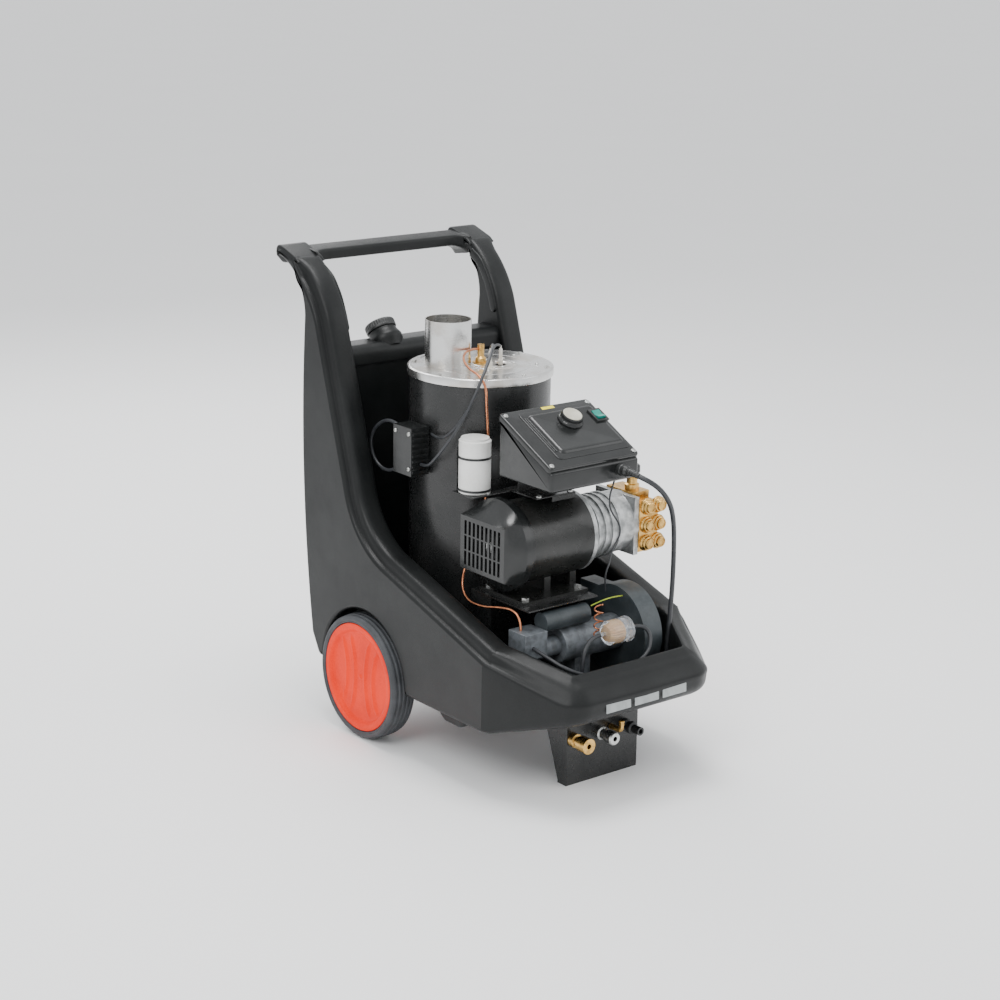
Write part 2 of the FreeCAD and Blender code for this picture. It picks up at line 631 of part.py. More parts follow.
node("unloader_valve", turned(valve_at, [
    ("0", "0"), ("15", "0"), ("15", "10"), ("11", "12"), ("11", "30"), ("4", "32"), ("4", "44"),
    ("0", "44")]))
node("unloader_knob", turned((*valve_at[:2], f"{valve_top} + 33"), [
    ("4 + running_gap", "0"), ("14", "0"), ("16", "3"), ("16", "15"), ("13", "18"), ("0", "18"), ("0", "12"),
    ("4 + running_gap", "12")]))


# ---- brackets over the motor, capacitor and ignition transformer ----

strip = block(("-152", "-92", f"{saddle_top} - 3"), ("52", "68", "3"))
arm = block(("-101", "-92", f"{saddle_top} - 3"), ("61", "22", "3"))
upright = block(("-139", "-22", f"{saddle_top} - 3"), ("34", "3", "90"))
upright_foot = block(("-139", "-35", f"{saddle_top} - 3"), ("34", "16", "3"))
saddle = block(("-60", "-motor_front - 30", saddle_top), ("100", "100", "3"))
web = block(("-60", "-motor_front + 27", saddle_top), ("100", "3", f"box_bottom - ({saddle_top})"))
shelf = block(("-60", "-motor_front - 50", "box_bottom - 3"), ("100", "80", "3"))
node("box_bracket", fuse(strip, arm, upright, upright_foot, saddle, web, shelf))

capacitor_spot = ("-120", "-55")
node("run_capacitor", turned((*capacitor_spot, saddle_top), [
    ("0", "0"), ("30", "0"), ("32", "2"), ("32", "105"), ("30", "107"), ("28", "107"), ("28", "111"),
    ("0", "111")]))
node("capacitor_ties", group(*[
    tube((*capacitor_spot, f"{saddle_top} + {up}"), "33.2", "32", "4.5") for up in (5, 70)]))

transformer = block(("-190", "60", "556"), ("44", "60", "98"))
transformer_ribs = [block(("-188", "57", f"562 + {step} * 11"), ("40", "3", "5")) for step in range(8)]
transformer_pads = [block(("-146", "boiler_back - 6", z), ("145.6 - boiler_radius", "12", "20"))
                    for z in ("570", "620")]
node("ignition_transformer", fuse(transformer, *transformer_ribs, *transformer_pads))

# ---- control box ----

box_left = "box_middle - box_width / 2"
run = value("box_front - box_rear")
rise = value("box_rear_top - box_front_top")
slope = math.atan2(rise, run)
TILT = Rotation(Vector(1, 0, 0), math.degrees(slope))


def on_lid(x, along, above):
    """A place on the sloping lid: along runs up the slope from its front edge."""
    c = round(math.cos(slope), 5)
    s = round(math.sin(slope), 5)
    return (x, f"-box_front + {c} * ({along}) - {s} * ({above})",
            f"box_front_top + {s} * ({along}) + {c} * ({above})")


lid_drop = 11
case = padded((box_left, "0", "0"), [
    ("-box_front", "box_bottom"), ("-box_rear", "box_bottom"), ("-box_rear", f"box_rear_top - {lid_drop}"),
    ("-box_front", f"box_front_top - {lid_drop}")], "box_width", CROSSWISE)
case_void = padded((f"{box_left} + box_wall", "0", "0"), [
    ("-box_front + box_wall", "box_bottom + box_wall"), ("-box_rear - box_wall", "box_bottom + box_wall"),
    ("-box_rear - box_wall", "box_rear_top + 20"), ("-box_front + box_wall", "box_front_top + 20")],
    "box_width - 2 * box_wall", CROSSWISE)
gland_at = ("52", "-box_front", "box_bottom + 24")
gland_hole = rod((gland_at[0], "-box_front + 10", gland_at[2]), "8.3", "20", TO_FRONT)
pressure_switch = block((f"{box_left} + box_width", "-box_rear - 62", "box_bottom + 18"), ("22", "40", "46"))
node("control_box_base", fuse(cut(case, case_void, gland_hole), pressure_switch))
cover = padded((box_left, "0", "0"), [
    ("-box_front", f"box_front_top - {lid_drop}"), ("-box_rear", f"box_rear_top - {lid_drop}"),
    ("-box_rear", "box_rear_top"), ("-box_front", "box_front_top")], "box_width", CROSSWISE)
cover_void = padded((f"{box_left} + 8", "0", "0"), [
    ("-box_front + 8", f"box_front_top - {lid_drop} - 1"),
    ("-box_rear - 8", f"box_rear_top - {lid_drop} - 1"),
    ("-box_rear - 8", "box_rear_top - 7"), ("-box_front + 8", "box_front_top - 3")],
    "box_width - 16", CROSSWISE)
platform = block(on_lid("box_middle - 62", "34", "-1"), ("164", "122", "7"))
platform.Placement.Rotation = TILT
switch_at = ("box_middle + 91", "117")
knob_at = ("box_middle + 20", "117")
switch_hole = block(on_lid(f"{switch_at[0]} - 12.3", f"{switch_at[1]} - 15.3", "-12"), ("24.6", "30.6", "30"))
switch_hole.Placement.Rotation = TILT
knob_hole = rod(on_lid(*knob_at, "-20"), "4 + running_gap", "40", TILT)
node("control_box_lid", cut(fuse(cut(cover, cover_void), platform), switch_hole, knob_hole))
node("thermostat_knob", turned(on_lid(*knob_at, "6 + seat_gap"), [
    ("0", "-18"), ("4", "-18"), ("4", "0"), ("knob_radius + 4", "0"), ("knob_radius + 3", "5"),
    ("knob_radius", "7"), ("knob_radius", "knob_height - 1"), ("knob_radius - 1", "knob_height"),
    ("0", "knob_height")], TILT))
frame_low = on_lid(f"{switch_at[0]} - 15", f"{switch_at[1]} - 18", "6")
switch_frame = block(frame_low, ("30", "36", "4"))
switch_body = block(on_lid(f"{switch_at[0]} - 12", f"{switch_at[1]} - 15", "-14"), ("24", "30", "21"))
switch_well = block(on_lid(f"{switch_at[0]} - 10", f"{switch_at[1]} - 13", "-11"), ("20", "26", "30"))
for part in (switch_frame, switch_body, switch_well):
    part.Placement.Rotation = TILT
node("switch_housing", cut(fuse(switch_frame, switch_body), switch_well))
rocker = padded(on_lid(f"{switch_at[0]} - 9.5", switch_at[1], "3"), [
    ("-11.5", "3"), ("-4", "-4"), ("4", "-4"), ("11.5", "3"), ("11.5", "9"), ("0", "7"), ("-11.5", "12")],
    "19", TILT.multiply(Rotation(Vector(1, 1, 1), 120)))
pivot = rod(on_lid(f"{switch_at[0]} - 9.8", switch_at[1], "8"), "1.8", "19.6", ALONG_X)
node("power_rocker", fuse(rocker, pivot))
screw_spots = [(x, along) for x in (f"{box_left} + 9", f"{box_left} + box_width - 9")
               for along in ("10", "166")]
node("box_screws", group(*[
    turned(on_lid(*spot, "0"), [("0", "0"), ("5", "0"), ("5", "1.5"), ("3.5", "3"), ("0", "3")], TILT)
    for spot in screw_spots]))
node("cable_gland", turned(gland_at, [
    ("5 + seat_gap", "-6"), ("8", "-6"), ("8", "0"), ("12", "0"), ("12", "8"), ("11", "10"), ("11", "19"),
    ("8", "24"), ("5 + seat_gap", "24")], TO_FRONT))

# ---- burner unit in the tub ----

burner = ("-burner_front", "burner_height")
drum = rod(("blower_left", *burner), "blower_radius", "blower_width", ALONG_X)
drum_void = rod(("blower_left + 3", *burner), "blower_radius - 4", "blower_width - 6", ALONG_X)
air_inlet = rod(("blower_left + blower_width - 5", *burner), "34", "10", ALONG_X)
shaft_hole = rod(("blower_left - 1", *burner), "9", "6", ALONG_X)
drum_foot = block(("blower_left + 8", "-burner_front - 40", "floor_height"),
                  ("blower_width - 16", "80", "burner_height - blower_radius - floor_height + 12"))
outlet = block(("blower_left + 4", "-burner_front + 20", "burner_height + 30"),
               ("blower_width - 8", "88", "50"))
outlet_void = block(("blower_left + 7", "-burner_front + 20", "burner_height + 33"),
                    ("blower_width - 14", "89", "44"))
node("blower_housing", cut(fuse(drum, outlet, drum_foot), drum_void, outlet_void, air_inlet, shaft_hole))
wheel_start = "blower_left + 6"
wheel_blades = []
for step in range(16):
    blade = block((wheel_start, "-burner_front", "burner_height"), ("blower_width - 14", "2", "74"))
    blade.Placement.Rotation = Rotation(Vector(1, 0, 0), 22.5 * step)
    wheel_blades.append(blade)
bladed = cut(fuse(*wheel_blades), rod(("blower_left", *burner), "56", "blower_width", ALONG_X))
back_disc = rod((wheel_start, *burner), "74", "2.5", ALONG_X)
burner_shaft = rod(("46", *burner), "6", f"{wheel_start} - 46 + 22", ALONG_X)
node("blower_impeller", fuse(bladed, back_disc, burner_shaft))
casing = rod(("-60", *burner), "burner_motor_radius", "blower_left + 60", ALONG_X)
casing_foot = block(("-24", "-burner_front - 20", "floor_height"),
                    ("40", "40", "burner_height - burner_motor_radius - floor_height + 8"))
node("burner_motor", cut(fuse(casing, casing_foot),
                         rod(("44", *burner), "6 + running_gap", "80", ALONG_X)))
capacitor_height = "burner_height + burner_motor_radius + 20 + seat_gap"
node("burner_capacitor", rod(("-104", "-burner_front - 8", capacitor_height), "20", "112", ALONG_X))
pump_box = block(("-160", "-burner_front - 30", "burner_height - 6"), ("55", "52", "52"))
pump_neck = rod(("-108", *burner), "20", "48", ALONG_X)
node("fuel_pump", fuse(pump_box, pump_neck))
filter_at = ("-16", "-335", "303")
node("fuel_filter", turned(filter_at, [
    ("2.5", "-12"), ("4", "-12"), ("4", "0"), ("16", "2"), ("filter_radius", "8"),
    ("filter_radius", "filter_length - 12"), ("filter_radius + 1.5", "filter_length - 10"),
    ("filter_radius + 1.5", "filter_length - 5"), ("14", "filter_length"),
    ("4", "filter_length + 2"), ("4", "filter_length + 12"), ("2.5", "filter_length + 12")], ALONG_X))

# ---- fuel cap ----

cap_foot = neck_place()
cap = turned([round(number, 3) for number in cap_foot.Base], [
    ("0", "2"), ("neck_radius - skin - 1", "2"), ("neck_radius - skin - 1", "neck_height + seat_gap"),
    ("neck_radius + 1", "neck_height + seat_gap"), ("neck_radius + 3", "neck_height + 3"),
    ("neck_radius + 3", "neck_height + 14"), ("neck_radius", "neck_height + 18"), ("0", "neck_height + 18")])
cap.Placement.Rotation = cap_foot.Rotation
node("fuel_cap", cap)

# ---- pipes and cables ----

node("nozzle_pipe", cord([
    (-7, 82, 790), (-28, 74, 794), (-58, 60, 794), (-84, 34, 786), (-95, 0, 775), (-99, -36, 770),
    (-100, -62, 752), (-97, -60, 712), (-86, -52, 662), (-82, -49, 600), (-82, -47, 535), (-86, -42, 480),
    (-98, -35, 432), (-120, -34, 392), (-146, -50, 356), (-164, -90, 335), (-165, -140, 334),
    (-156, -182, 343), (-148, -216, 346), (-146, -236, 332), (-146, -238, 309)], 5, 2.0))
node("pressure_pipe", cord([
    (214, -82, 470), (214, -50, 471), (206, -8, 462), (192, 26, 440), (180, 54, 406), (172, 72, 366),
    (value("boiler_radius + 17"), 82, 342), (value("boiler_radius + 1"), 86, 330)], 14, 1.0))
node("power_cable", cord([
    (52, -313, 612), (57, -350, 607), (86, -366, 586), (122, -360, 548), (149, -343, 500), (166, -328, 442),
    (174, -320, 380), (174, -317, 315), (168, -318, 258), (163, -321, 210), (162, -322, 166)], 10))
node("transformer_cable", cord([
    (-168, 120, 640), (-169, 142, 650), (-171, 176, 648), (-172, 210, 625), (-172, 224, 592),
    (-172, 212, 560), (-171, 184, 543), (-169, 150, 546), (-168, 120, 566)], 7))
node("ignition_lead", cord([
    (-168, 57, 580), (-171, 34, 580), (-176, 4, 600), (-170, -30, 640), (-155, -60, 690), (-134, -72, 742),
    (-106, -60, 776), (-74, -38, 796), (-44, -10, 812), (-22, 16, 814), (-12, 34, 804)], 6, 2.0))
node("filter_hose", cord([
    (58, -335, 303), (76, -338, 304), (90, -350, 290), (82, -362, 264), (52, -370, 246), (4, -374, 238),
    (-48, -376, 238), (-94, -370, 244), (-128, -346, 260), (-140, -310, 274), (-140, -270, 280)], 8, 2.0))
node("suction_hose", cord([
    (-28, -335, 303), (-48, -336, 302), (-70, -340, 286), (-78, -344, 256), (-80, -343, 222),
    (-78, -340, 192), (-77, -338, 166)], 8, 2.0))

# ---- checks and files ----

doc.recompute()
for thing in doc.Objects:
    if "Invalid" in thing.State or "Error" in thing.State:
        raise RuntimeError(f"{thing.Name} failed: {thing.State}")
labels = [piece.Label for piece in nodes]
if len(set(labels)) != len(labels):
    raise RuntimeError("two sub-parts share a name")
os.makedirs("parts", exist_ok=True)
for piece in nodes:
    if piece.Shape.isNull() or not piece.Shape.isValid():
        raise RuntimeError(f"{piece.Label} has no valid shape")
    piece.Shape.exportStep(f"parts/{piece.Label}.step")
print(len(nodes), "sub-parts written")
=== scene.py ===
import json
import math
import bmesh
import bpy
import numpy as np
from mathutils import Matrix, Vector
from mathutils.geometry import delaunay_2d_cdt

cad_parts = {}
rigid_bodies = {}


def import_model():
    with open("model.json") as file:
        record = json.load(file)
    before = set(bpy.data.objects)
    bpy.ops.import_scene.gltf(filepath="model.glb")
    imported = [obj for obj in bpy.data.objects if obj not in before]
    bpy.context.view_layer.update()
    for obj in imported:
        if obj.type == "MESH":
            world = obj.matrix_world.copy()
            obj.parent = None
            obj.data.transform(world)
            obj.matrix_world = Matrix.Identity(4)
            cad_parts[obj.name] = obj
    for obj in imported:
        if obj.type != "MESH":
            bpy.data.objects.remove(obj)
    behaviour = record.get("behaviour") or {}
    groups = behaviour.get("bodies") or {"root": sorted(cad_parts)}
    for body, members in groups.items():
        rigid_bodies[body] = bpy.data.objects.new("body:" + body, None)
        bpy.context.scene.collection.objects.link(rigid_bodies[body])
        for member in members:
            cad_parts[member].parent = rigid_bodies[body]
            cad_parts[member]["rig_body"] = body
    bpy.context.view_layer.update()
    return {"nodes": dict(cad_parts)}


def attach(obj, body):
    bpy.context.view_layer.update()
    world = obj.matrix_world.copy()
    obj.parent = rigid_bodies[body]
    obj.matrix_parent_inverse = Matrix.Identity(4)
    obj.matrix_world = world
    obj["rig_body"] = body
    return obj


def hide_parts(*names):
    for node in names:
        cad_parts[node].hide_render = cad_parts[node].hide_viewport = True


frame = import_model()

mm = 0.001
nodes = frame["nodes"]
bodyOfNode = {name: obj["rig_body"] for name, obj in nodes.items()}


# a small class for shader sums, and one for a material

class Value:  # wraps a socket, so that an expression on values adds its Math nodes
    def __init__(self, finish, socket):
        self.finish = finish
        self.socket = socket

    def sum(self, operation, *parts):
        return self.finish.node("ShaderNodeMath", {"operation": operation}, dict(enumerate(parts)))

    def __add__(self, other):
        return self.sum("ADD", self, other)

    def __sub__(self, other):
        return self.sum("SUBTRACT", self, other)

    def __mul__(self, other):
        return self.sum("MULTIPLY", self, other)

    def __rsub__(self, other):
        return self.sum("SUBTRACT", other, self)

    __radd__ = __add__
    __rmul__ = __mul__

    def power(self, other):
        return self.sum("POWER", self, other)

    def between(self, low, high):  # 0 below low, 1 above high, smooth between
        return self.finish.node("ShaderNodeMapRange", {"interpolation_type": "SMOOTHSTEP"},
                                {"Value": self, "From Min": low, "From Max": high})


class Finish:  # one material and its nodes
    def __init__(self, name, **sockets):
        self.material = bpy.data.materials.new(name)
        self.material.use_nodes = True
        self.tree = self.material.node_tree
        self.shader = self.tree.nodes["Principled BSDF"]
        self.coords = self.node("ShaderNodeTexCoord", output="Object")
        self.set(**sockets)

    def node(self, kind, settings=None, sockets=None, output=0):
        made = self.tree.nodes.new(kind)
        for key, setting in (settings or {}).items():
            setattr(made, key, setting)
        for key, given in (sockets or {}).items():
            self.feed(made.inputs[key], given)
        return Value(self, made.outputs[output])

    def feed(self, socket, given):
        if isinstance(given, Value):
            self.tree.links.new(given.socket, socket)
        else:
            socket.default_value = given

    def set(self, **sockets):  # a socket's name is written without its spaces
        for key, given in sockets.items():
            spaced = "".join(" " + c if c.isupper() and n else c for n, c in enumerate(key))
            self.feed(self.shader.inputs[spaced.replace("I O R", "IOR")], given)

    def noise(self, scale, detail=3.0, where=None):
        return self.node("ShaderNodeTexNoise", {}, {"Vector": where or self.coords, "Scale": scale,
                                                    "Detail": detail})

    def mix(self, factor, first, second):
        made = self.tree.nodes.new("ShaderNodeMix")
        made.data_type = "RGBA"
        self.feed(made.inputs[0], factor)
        self.feed(made.inputs[6], first)
        self.feed(made.inputs[7], second)
        return Value(self, made.outputs[2])

    def relief(self, height, depth, under=None, strength=1.0):  # depth in metres
        sockets = {"Height": height, "Distance": depth, "Strength": strength}
        if under:
            sockets["Normal"] = under
        return self.node("ShaderNodeBump", {}, sockets, output="Normal")


def shade(r, g, b):
    return (r, g, b, 1.0)


# what changes from finish to finish: two colours, roughness and its spread, grain per metre and depth
plainFinishes = {
    "blackMoulding": dict(base=(0.0045, 0.0052, 0.0054), tint=(0.010, 0.011, 0.011), rough=0.36,
                          spread=0.10, shine=0.26, grain=1500, depth=0.00016, wave=7, waveDepth=0.0016),
    "glossMoulding": dict(base=(0.008, 0.009, 0.009), tint=(0.014, 0.015, 0.015), rough=0.22,
                          spread=0.08, grain=900, depth=0.00003, wave=22, waveDepth=0.0006),
    "satinMoulding": dict(base=(0.012, 0.013, 0.013), tint=(0.022, 0.023, 0.023), rough=0.38,
                          spread=0.10, grain=1400, depth=0.00008, wave=18, waveDepth=0.0003),
    "orangePlastic": dict(base=(0.90, 0.030, 0.0), tint=(0.74, 0.020, 0.0), rough=0.42, shine=0.16,
                          spread=0.08, grain=1200, depth=0.00006, wave=14, waveDepth=0.0004),
    "tyreRubber": dict(base=(0.026, 0.028, 0.032), tint=(0.050, 0.054, 0.060), rough=0.56,
                       spread=0.14, grain=1600, depth=0.00012, wave=30, waveDepth=0.0003),
    "zincSteel": dict(base=(0.62, 0.63, 0.62), tint=(0.42, 0.42, 0.40), rough=0.30, spread=0.16,
                      metal=1.0, grain=700, depth=0.00003, wave=60, waveDepth=0.0001),
    "blackSheet": dict(base=(0.010, 0.011, 0.011), tint=(0.020, 0.020, 0.020), rough=0.28,
                       spread=0.12, grain=1300, depth=0.00007, wave=16, waveDepth=0.0005),
    "brass": dict(base=(0.80, 0.50, 0.16), tint=(0.50, 0.30, 0.09), rough=0.30, spread=0.16,
                  metal=1.0, grain=900, depth=0.00006, wave=70, waveDepth=0.0002),
    "motorPaint": dict(base=(0.010, 0.011, 0.010), tint=(0.018, 0.018, 0.017), rough=0.30,
                       spread=0.10, grain=800, depth=0.00006, wave=20, waveDepth=0.0004),
    "castAluminium": dict(base=(0.55, 0.56, 0.56), tint=(0.30, 0.31, 0.31), rough=0.46,
                          spread=0.16, metal=0.85, grain=420, depth=0.00028, wave=60, waveDepth=0.0003),
    "greyCasting": dict(base=(0.20, 0.22, 0.24), tint=(0.11, 0.12, 0.13), rough=0.48,
                        spread=0.16, metal=0.35, grain=420, depth=0.00022, wave=60, waveDepth=0.0003),
    "darkEnamel": dict(base=(0.030, 0.038, 0.042), tint=(0.050, 0.060, 0.066), rough=0.42,
                       spread=0.12, grain=800, depth=0.00006, wave=30, waveDepth=0.0003),
    "whitePlastic": dict(base=(0.82, 0.82, 0.80), tint=(0.74, 0.74, 0.71), rough=0.34,
                         spread=0.08, grain=900, depth=0.00003, wave=30, waveDepth=0.0002),
    "knobIvory": dict(base=(0.56, 0.54, 0.45), tint=(0.46, 0.44, 0.36), rough=0.40, spread=0.10,
                      grain=1200, depth=0.00005, wave=60, waveDepth=0.0001),
    "rockerGreen": dict(base=(0.01, 0.28, 0.22), tint=(0.008, 0.20, 0.16), rough=0.20, spread=0.06,
                        grain=900, depth=0.00002, wave=60, waveDepth=0.0001),
    "ceramic": dict(base=(0.80, 0.78, 0.72), tint=(0.62, 0.58, 0.50), rough=0.24, spread=0.08,
                    grain=700, depth=0.00004, wave=80, waveDepth=0.0001),
    "coilSteel": dict(base=(0.20, 0.18, 0.16), tint=(0.10, 0.08, 0.07), rough=0.52, spread=0.15,
                      metal=1.0, grain=500, depth=0.0001, wave=40, waveDepth=0.0002),
    "laminations": dict(base=(0.28, 0.28, 0.29), tint=(0.15, 0.14, 0.13), rough=0.50, spread=0.12,
                        metal=1.0, grain=500, depth=0.0001, wave=40, waveDepth=0.0002),
    "copper": dict(base=(0.80, 0.33, 0.17), tint=(0.48, 0.18, 0.10), rough=0.30, spread=0.14,
                   metal=1.0, grain=900, depth=0.00003, wave=60, waveDepth=0.0001),
    "cableRubber": dict(base=(0.020, 0.022, 0.025), tint=(0.034, 0.036, 0.040), rough=0.42,
                        spread=0.12, grain=1600, depth=0.00006, wave=50, waveDepth=0.0002),
    "labelGrey": dict(base=(0.36, 0.38, 0.38), tint=(0.28, 0.30, 0.30), rough=0.36, spread=0.08,
                      grain=1500, depth=0.00002, wave=60, waveDepth=0.0001),
    "stickerYellow": dict(base=(0.90, 0.78, 0.02), tint=(0.74, 0.62, 0.02), rough=0.40, spread=0.08,
                          grain=1500, depth=0.00002, wave=60, waveDepth=0.0001),
    "amberPaper": dict(base=(0.90, 0.52, 0.16), tint=(0.78, 0.38, 0.10), rough=0.55, spread=0.10,
                       grain=800, depth=0.00010, wave=60, waveDepth=0.0002),
    "earthGreen": dict(base=(0.42, 0.50, 0.04), tint=(0.30, 0.42, 0.03), rough=0.40, spread=0.08,
                       grain=1500, depth=0.00002, wave=60, waveDepth=0.0001),
}


# two colours mixed by cloudy noise; roughness is a middle value plus noise; relief is fine grain over
# slow waves
def plainFinish(name, base, tint, rough, spread, grain, depth, wave, waveDepth, metal=0.0, shine=0.5):
    made = Finish(name, Metallic=metal, SpecularIORLevel=shine)
    cloud = made.noise(wave, 4.0)
    fine = made.noise(grain, 2.0)
    speck = made.noise(grain * 0.23, 3.0)
    blot = (cloud * 0.7 + speck * 0.3).between(0.36, 0.66)
    made.set(BaseColor=made.mix(blot, shade(*base), shade(*tint)))
    made.set(Roughness=rough + (made.noise(wave * 3.1, 4.0) - 0.5) * spread * 2 + (speck - 0.5) * spread)
    made.set(Normal=made.relief(fine, depth, made.relief(cloud, waveDepth)))
    return made


finishes = {name: plainFinish(name, **settings) for name, settings in plainFinishes.items()}

# brushed stainless: the brushing runs round the boiler's axis, so its noise depends on the radius
boilerMiddle = (0.0, 83 * mm)


# fine noise in the distance from the axis, or in the height, drawn out the other ways
def brushedSteel(name, upright):
    made = Finish(name, Metallic=1.0)
    place = made.node("ShaderNodeSeparateXYZ", {}, {"Vector": made.coords}).socket.node
    x, y, z = (Value(made, place.outputs[n]) for n in range(3))
    radius = ((x - boilerMiddle[0]).power(2.0) + (y - boilerMiddle[1]).power(2.0)).power(0.5)
    along = made.node("ShaderNodeCombineXYZ", {}, {"X": (z if upright else radius) * 900, "Y": x * 9,
                                                   "Z": y * 9})
    streak = made.noise(1.0, 4.0, where=along)
    stain = made.noise(18, 4.0).between(0.40, 0.68)
    made.set(BaseColor=made.mix(stain, shade(0.72, 0.72, 0.71), shade(0.56, 0.53, 0.49)))
    made.set(Roughness=0.17 + streak * 0.16 + stain * 0.08)
    made.set(Normal=made.relief(streak, 0.00005, made.relief(made.noise(26, 2.0), 0.0007)))
    return made


finishes["lidSteel"] = brushedSteel("lidSteel", False)
finishes["flueSteel"] = brushedSteel("flueSteel", True)


# a clear body whose tint, roughness and surface wander with noise
def clearPlastic():
    made = Finish("clearPlastic", TransmissionWeight=0.85, IOR=1.46)
    made.set(BaseColor=made.mix(made.noise(40, 2.0), shade(0.86, 0.90, 0.94), shade(0.70, 0.76, 0.82)))
    made.set(Roughness=0.08 + made.noise(300, 2.0) * 0.14)
    made.set(Normal=made.relief(made.noise(60, 2.0), 0.0004))
    return made


finishes["clearPlastic"] = clearPlastic()
print("finishes", len(finishes))


# meshes from arrays

def coat(obj, finish):
    obj.data.materials.clear()
    obj.data.materials.append(finishes[finish].material)


# a piece's finish, the nodes it stands for and the body it rides on
def give(obj, finish, body="machine", stands=()):
    coat(obj, finish)
    if stands:
        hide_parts(*stands)
    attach(obj, body)
    return obj


# smooth shading, with edges sharper than the angle kept sharp
def smooth(mesh, angle):
    mesh.shade_smooth()
    if angle < 180:
        mesh.set_sharp_from_angle(angle=math.radians(angle))


# points and faces, in millimetres, to an object whose doubles are merged
def meshPiece(name, points, faces, angle=35, merge=0.02):
    mesh = bpy.data.meshes.new(name)
    mesh.from_pydata((np.asarray(points, float) * mm).tolist(), [], [list(map(int, f)) for f in faces])
    shell = bmesh.new()
    shell.from_mesh(mesh)
    bmesh.ops.remove_doubles(shell, verts=shell.verts, dist=merge * mm)
    bmesh.ops.dissolve_degenerate(shell, edges=shell.edges, dist=1e-7)
    shell.to_mesh(mesh)
    shell.free()
    smooth(mesh, angle)
    obj = bpy.data.objects.new(name, mesh)
    bpy.context.scene.collection.objects.link(obj)
    return obj


def facingOut(obj, flatSides=False):  # faces that look straight sideways may stay flat
    shell = bmesh.new()
    shell.from_mesh(obj.data)
    bmesh.ops.recalc_face_normals(shell, faces=shell.faces)
    if flatSides:
        for face in shell.faces:
            face.smooth = abs(face.normal.x) < 0.9999
    shell.to_mesh(obj.data)
    shell.free()


def moulding(name, part, **how):  # a black moulded piece
    return give(meshPiece(name, *part, **how), "blackMoulding")


# faces of an n by m grid of points, whose rows or columns may close on themselves
def gridFaces(n, m, closeRows=False, closeColumns=False, start=0):
    i = np.arange(n if closeRows else n - 1)
    j = np.arange(m if closeColumns else m - 1)
    a, b = (part.ravel() for part in np.meshgrid(i, j, indexing="ij"))
    c, d = (a + 1) % n, (b + 1) % m
    return start + np.stack([a * m + b, a * m + d, c * m + d, c * m + b], axis=1)


# faces of n closed rings of m points, with a flat face at both ends
def tubeFaces(n, m):
    faces = gridFaces(n, m, closeColumns=True).tolist()
    return faces + [list(range(m))[::-1], list(range((n - 1) * m, n * m))]


# several parts, each (points, faces), put into one
def joined(*parts):
    points, faces, start = [], [], 0
    for some, ends in parts:
        points.append(np.asarray(some, float).reshape(-1, 3))
        faces.extend([[int(v) + start for v in f] for f in ends])
        start += len(points[-1])
    return np.concatenate(points), faces


# the same part with its faces the other way round
def insideOut(part):
    points, faces = part
    return points, [list(f)[::-1] for f in faces]


def mirrored(part):  # the same part on the other side of x = 0
    points, faces = part
    flipped = np.array(points, float).reshape(-1, 3) * [-1, 1, 1]
    return flipped, [list(f)[::-1] for f in faces]


def bothSides(part):
    return joined(part, mirrored(part))


def quadratic(first, corner, last, t):  # the quadratic curve from first to last, at shares t
    return first * (1 - t) ** 2 + corner * 2 * t * (1 - t) + last * t ** 2


# a closed outline whose corners become arcs: each corner is cut back by its radius and bridged by
# a quadratic curve through the corner's two sides
def rounded(corners, radii, steps=6):
    corners = np.asarray(corners, float)
    before = np.roll(corners, 1, axis=0) - corners
    after = np.roll(corners, -1, axis=0) - corners
    lengthBefore = np.linalg.norm(before, axis=1, keepdims=True)
    lengthAfter = np.linalg.norm(after, axis=1, keepdims=True)
    radii = np.broadcast_to(np.asarray(radii, float), len(corners))[:, None]
    trim = np.minimum(radii, 0.48 * np.minimum(lengthBefore, lengthAfter))
    first = corners + before / lengthBefore * trim
    last = corners + after / lengthAfter * trim
    t = np.linspace(0, 1, steps + 1)[None, :, None]
    return quadratic(first[:, None], corners[:, None], last[:, None], t).reshape(-1, 2)


# inward unit normals of a closed outline, lengthened at corners so that offsets keep their width
def inwards(outline):
    ahead = np.roll(outline, -1, axis=0) - outline
    size = np.linalg.norm(ahead, axis=1, keepdims=True)
    ahead = ahead / np.maximum(size, 1e-9)
    left = np.stack([-ahead[:, 1], ahead[:, 0]], axis=1)
    was = np.roll(left, 1, axis=0)
    total = left + was
    total = total / np.maximum((1 + (left * was).sum(1, keepdims=True)), 0.25)
    x, y = outline[:, 0], outline[:, 1]
    area = (x * np.roll(y, -1) - y * np.roll(x, -1)).sum()
    return total * np.sign(area)


# leaves out points that lie on the one before
def withoutDoubles(outline, least=0.05):
    step = np.linalg.norm(outline - np.roll(outline, 1, axis=0), axis=1)
    return outline[step > least]


def thinned(line, least):  # the same for an open line
    return line[np.concatenate([[True], np.linalg.norm(np.diff(line, axis=0), axis=1) > least])]


def distances(line):  # how far along the line each of its points is
    return np.concatenate([[0], np.cumsum(np.linalg.norm(np.diff(line, axis=0), axis=1))])


def directions(line):  # unit vectors along a line
    ahead = np.gradient(line, axis=0)
    return ahead / np.linalg.norm(ahead, axis=1, keepdims=True)


def moved(points, place):  # turned and shifted by a matrix
    return points @ np.array(place.to_3x3()).T + np.array(place.translation)


# an outline carried along the third axis: near both ends it steps inward along its normals by a
# quarter circle of the given radius, and flat faces close the ends
axisOrder = {"x": (2, 0, 1), "y": (1, 2, 0), "z": (0, 1, 2)}


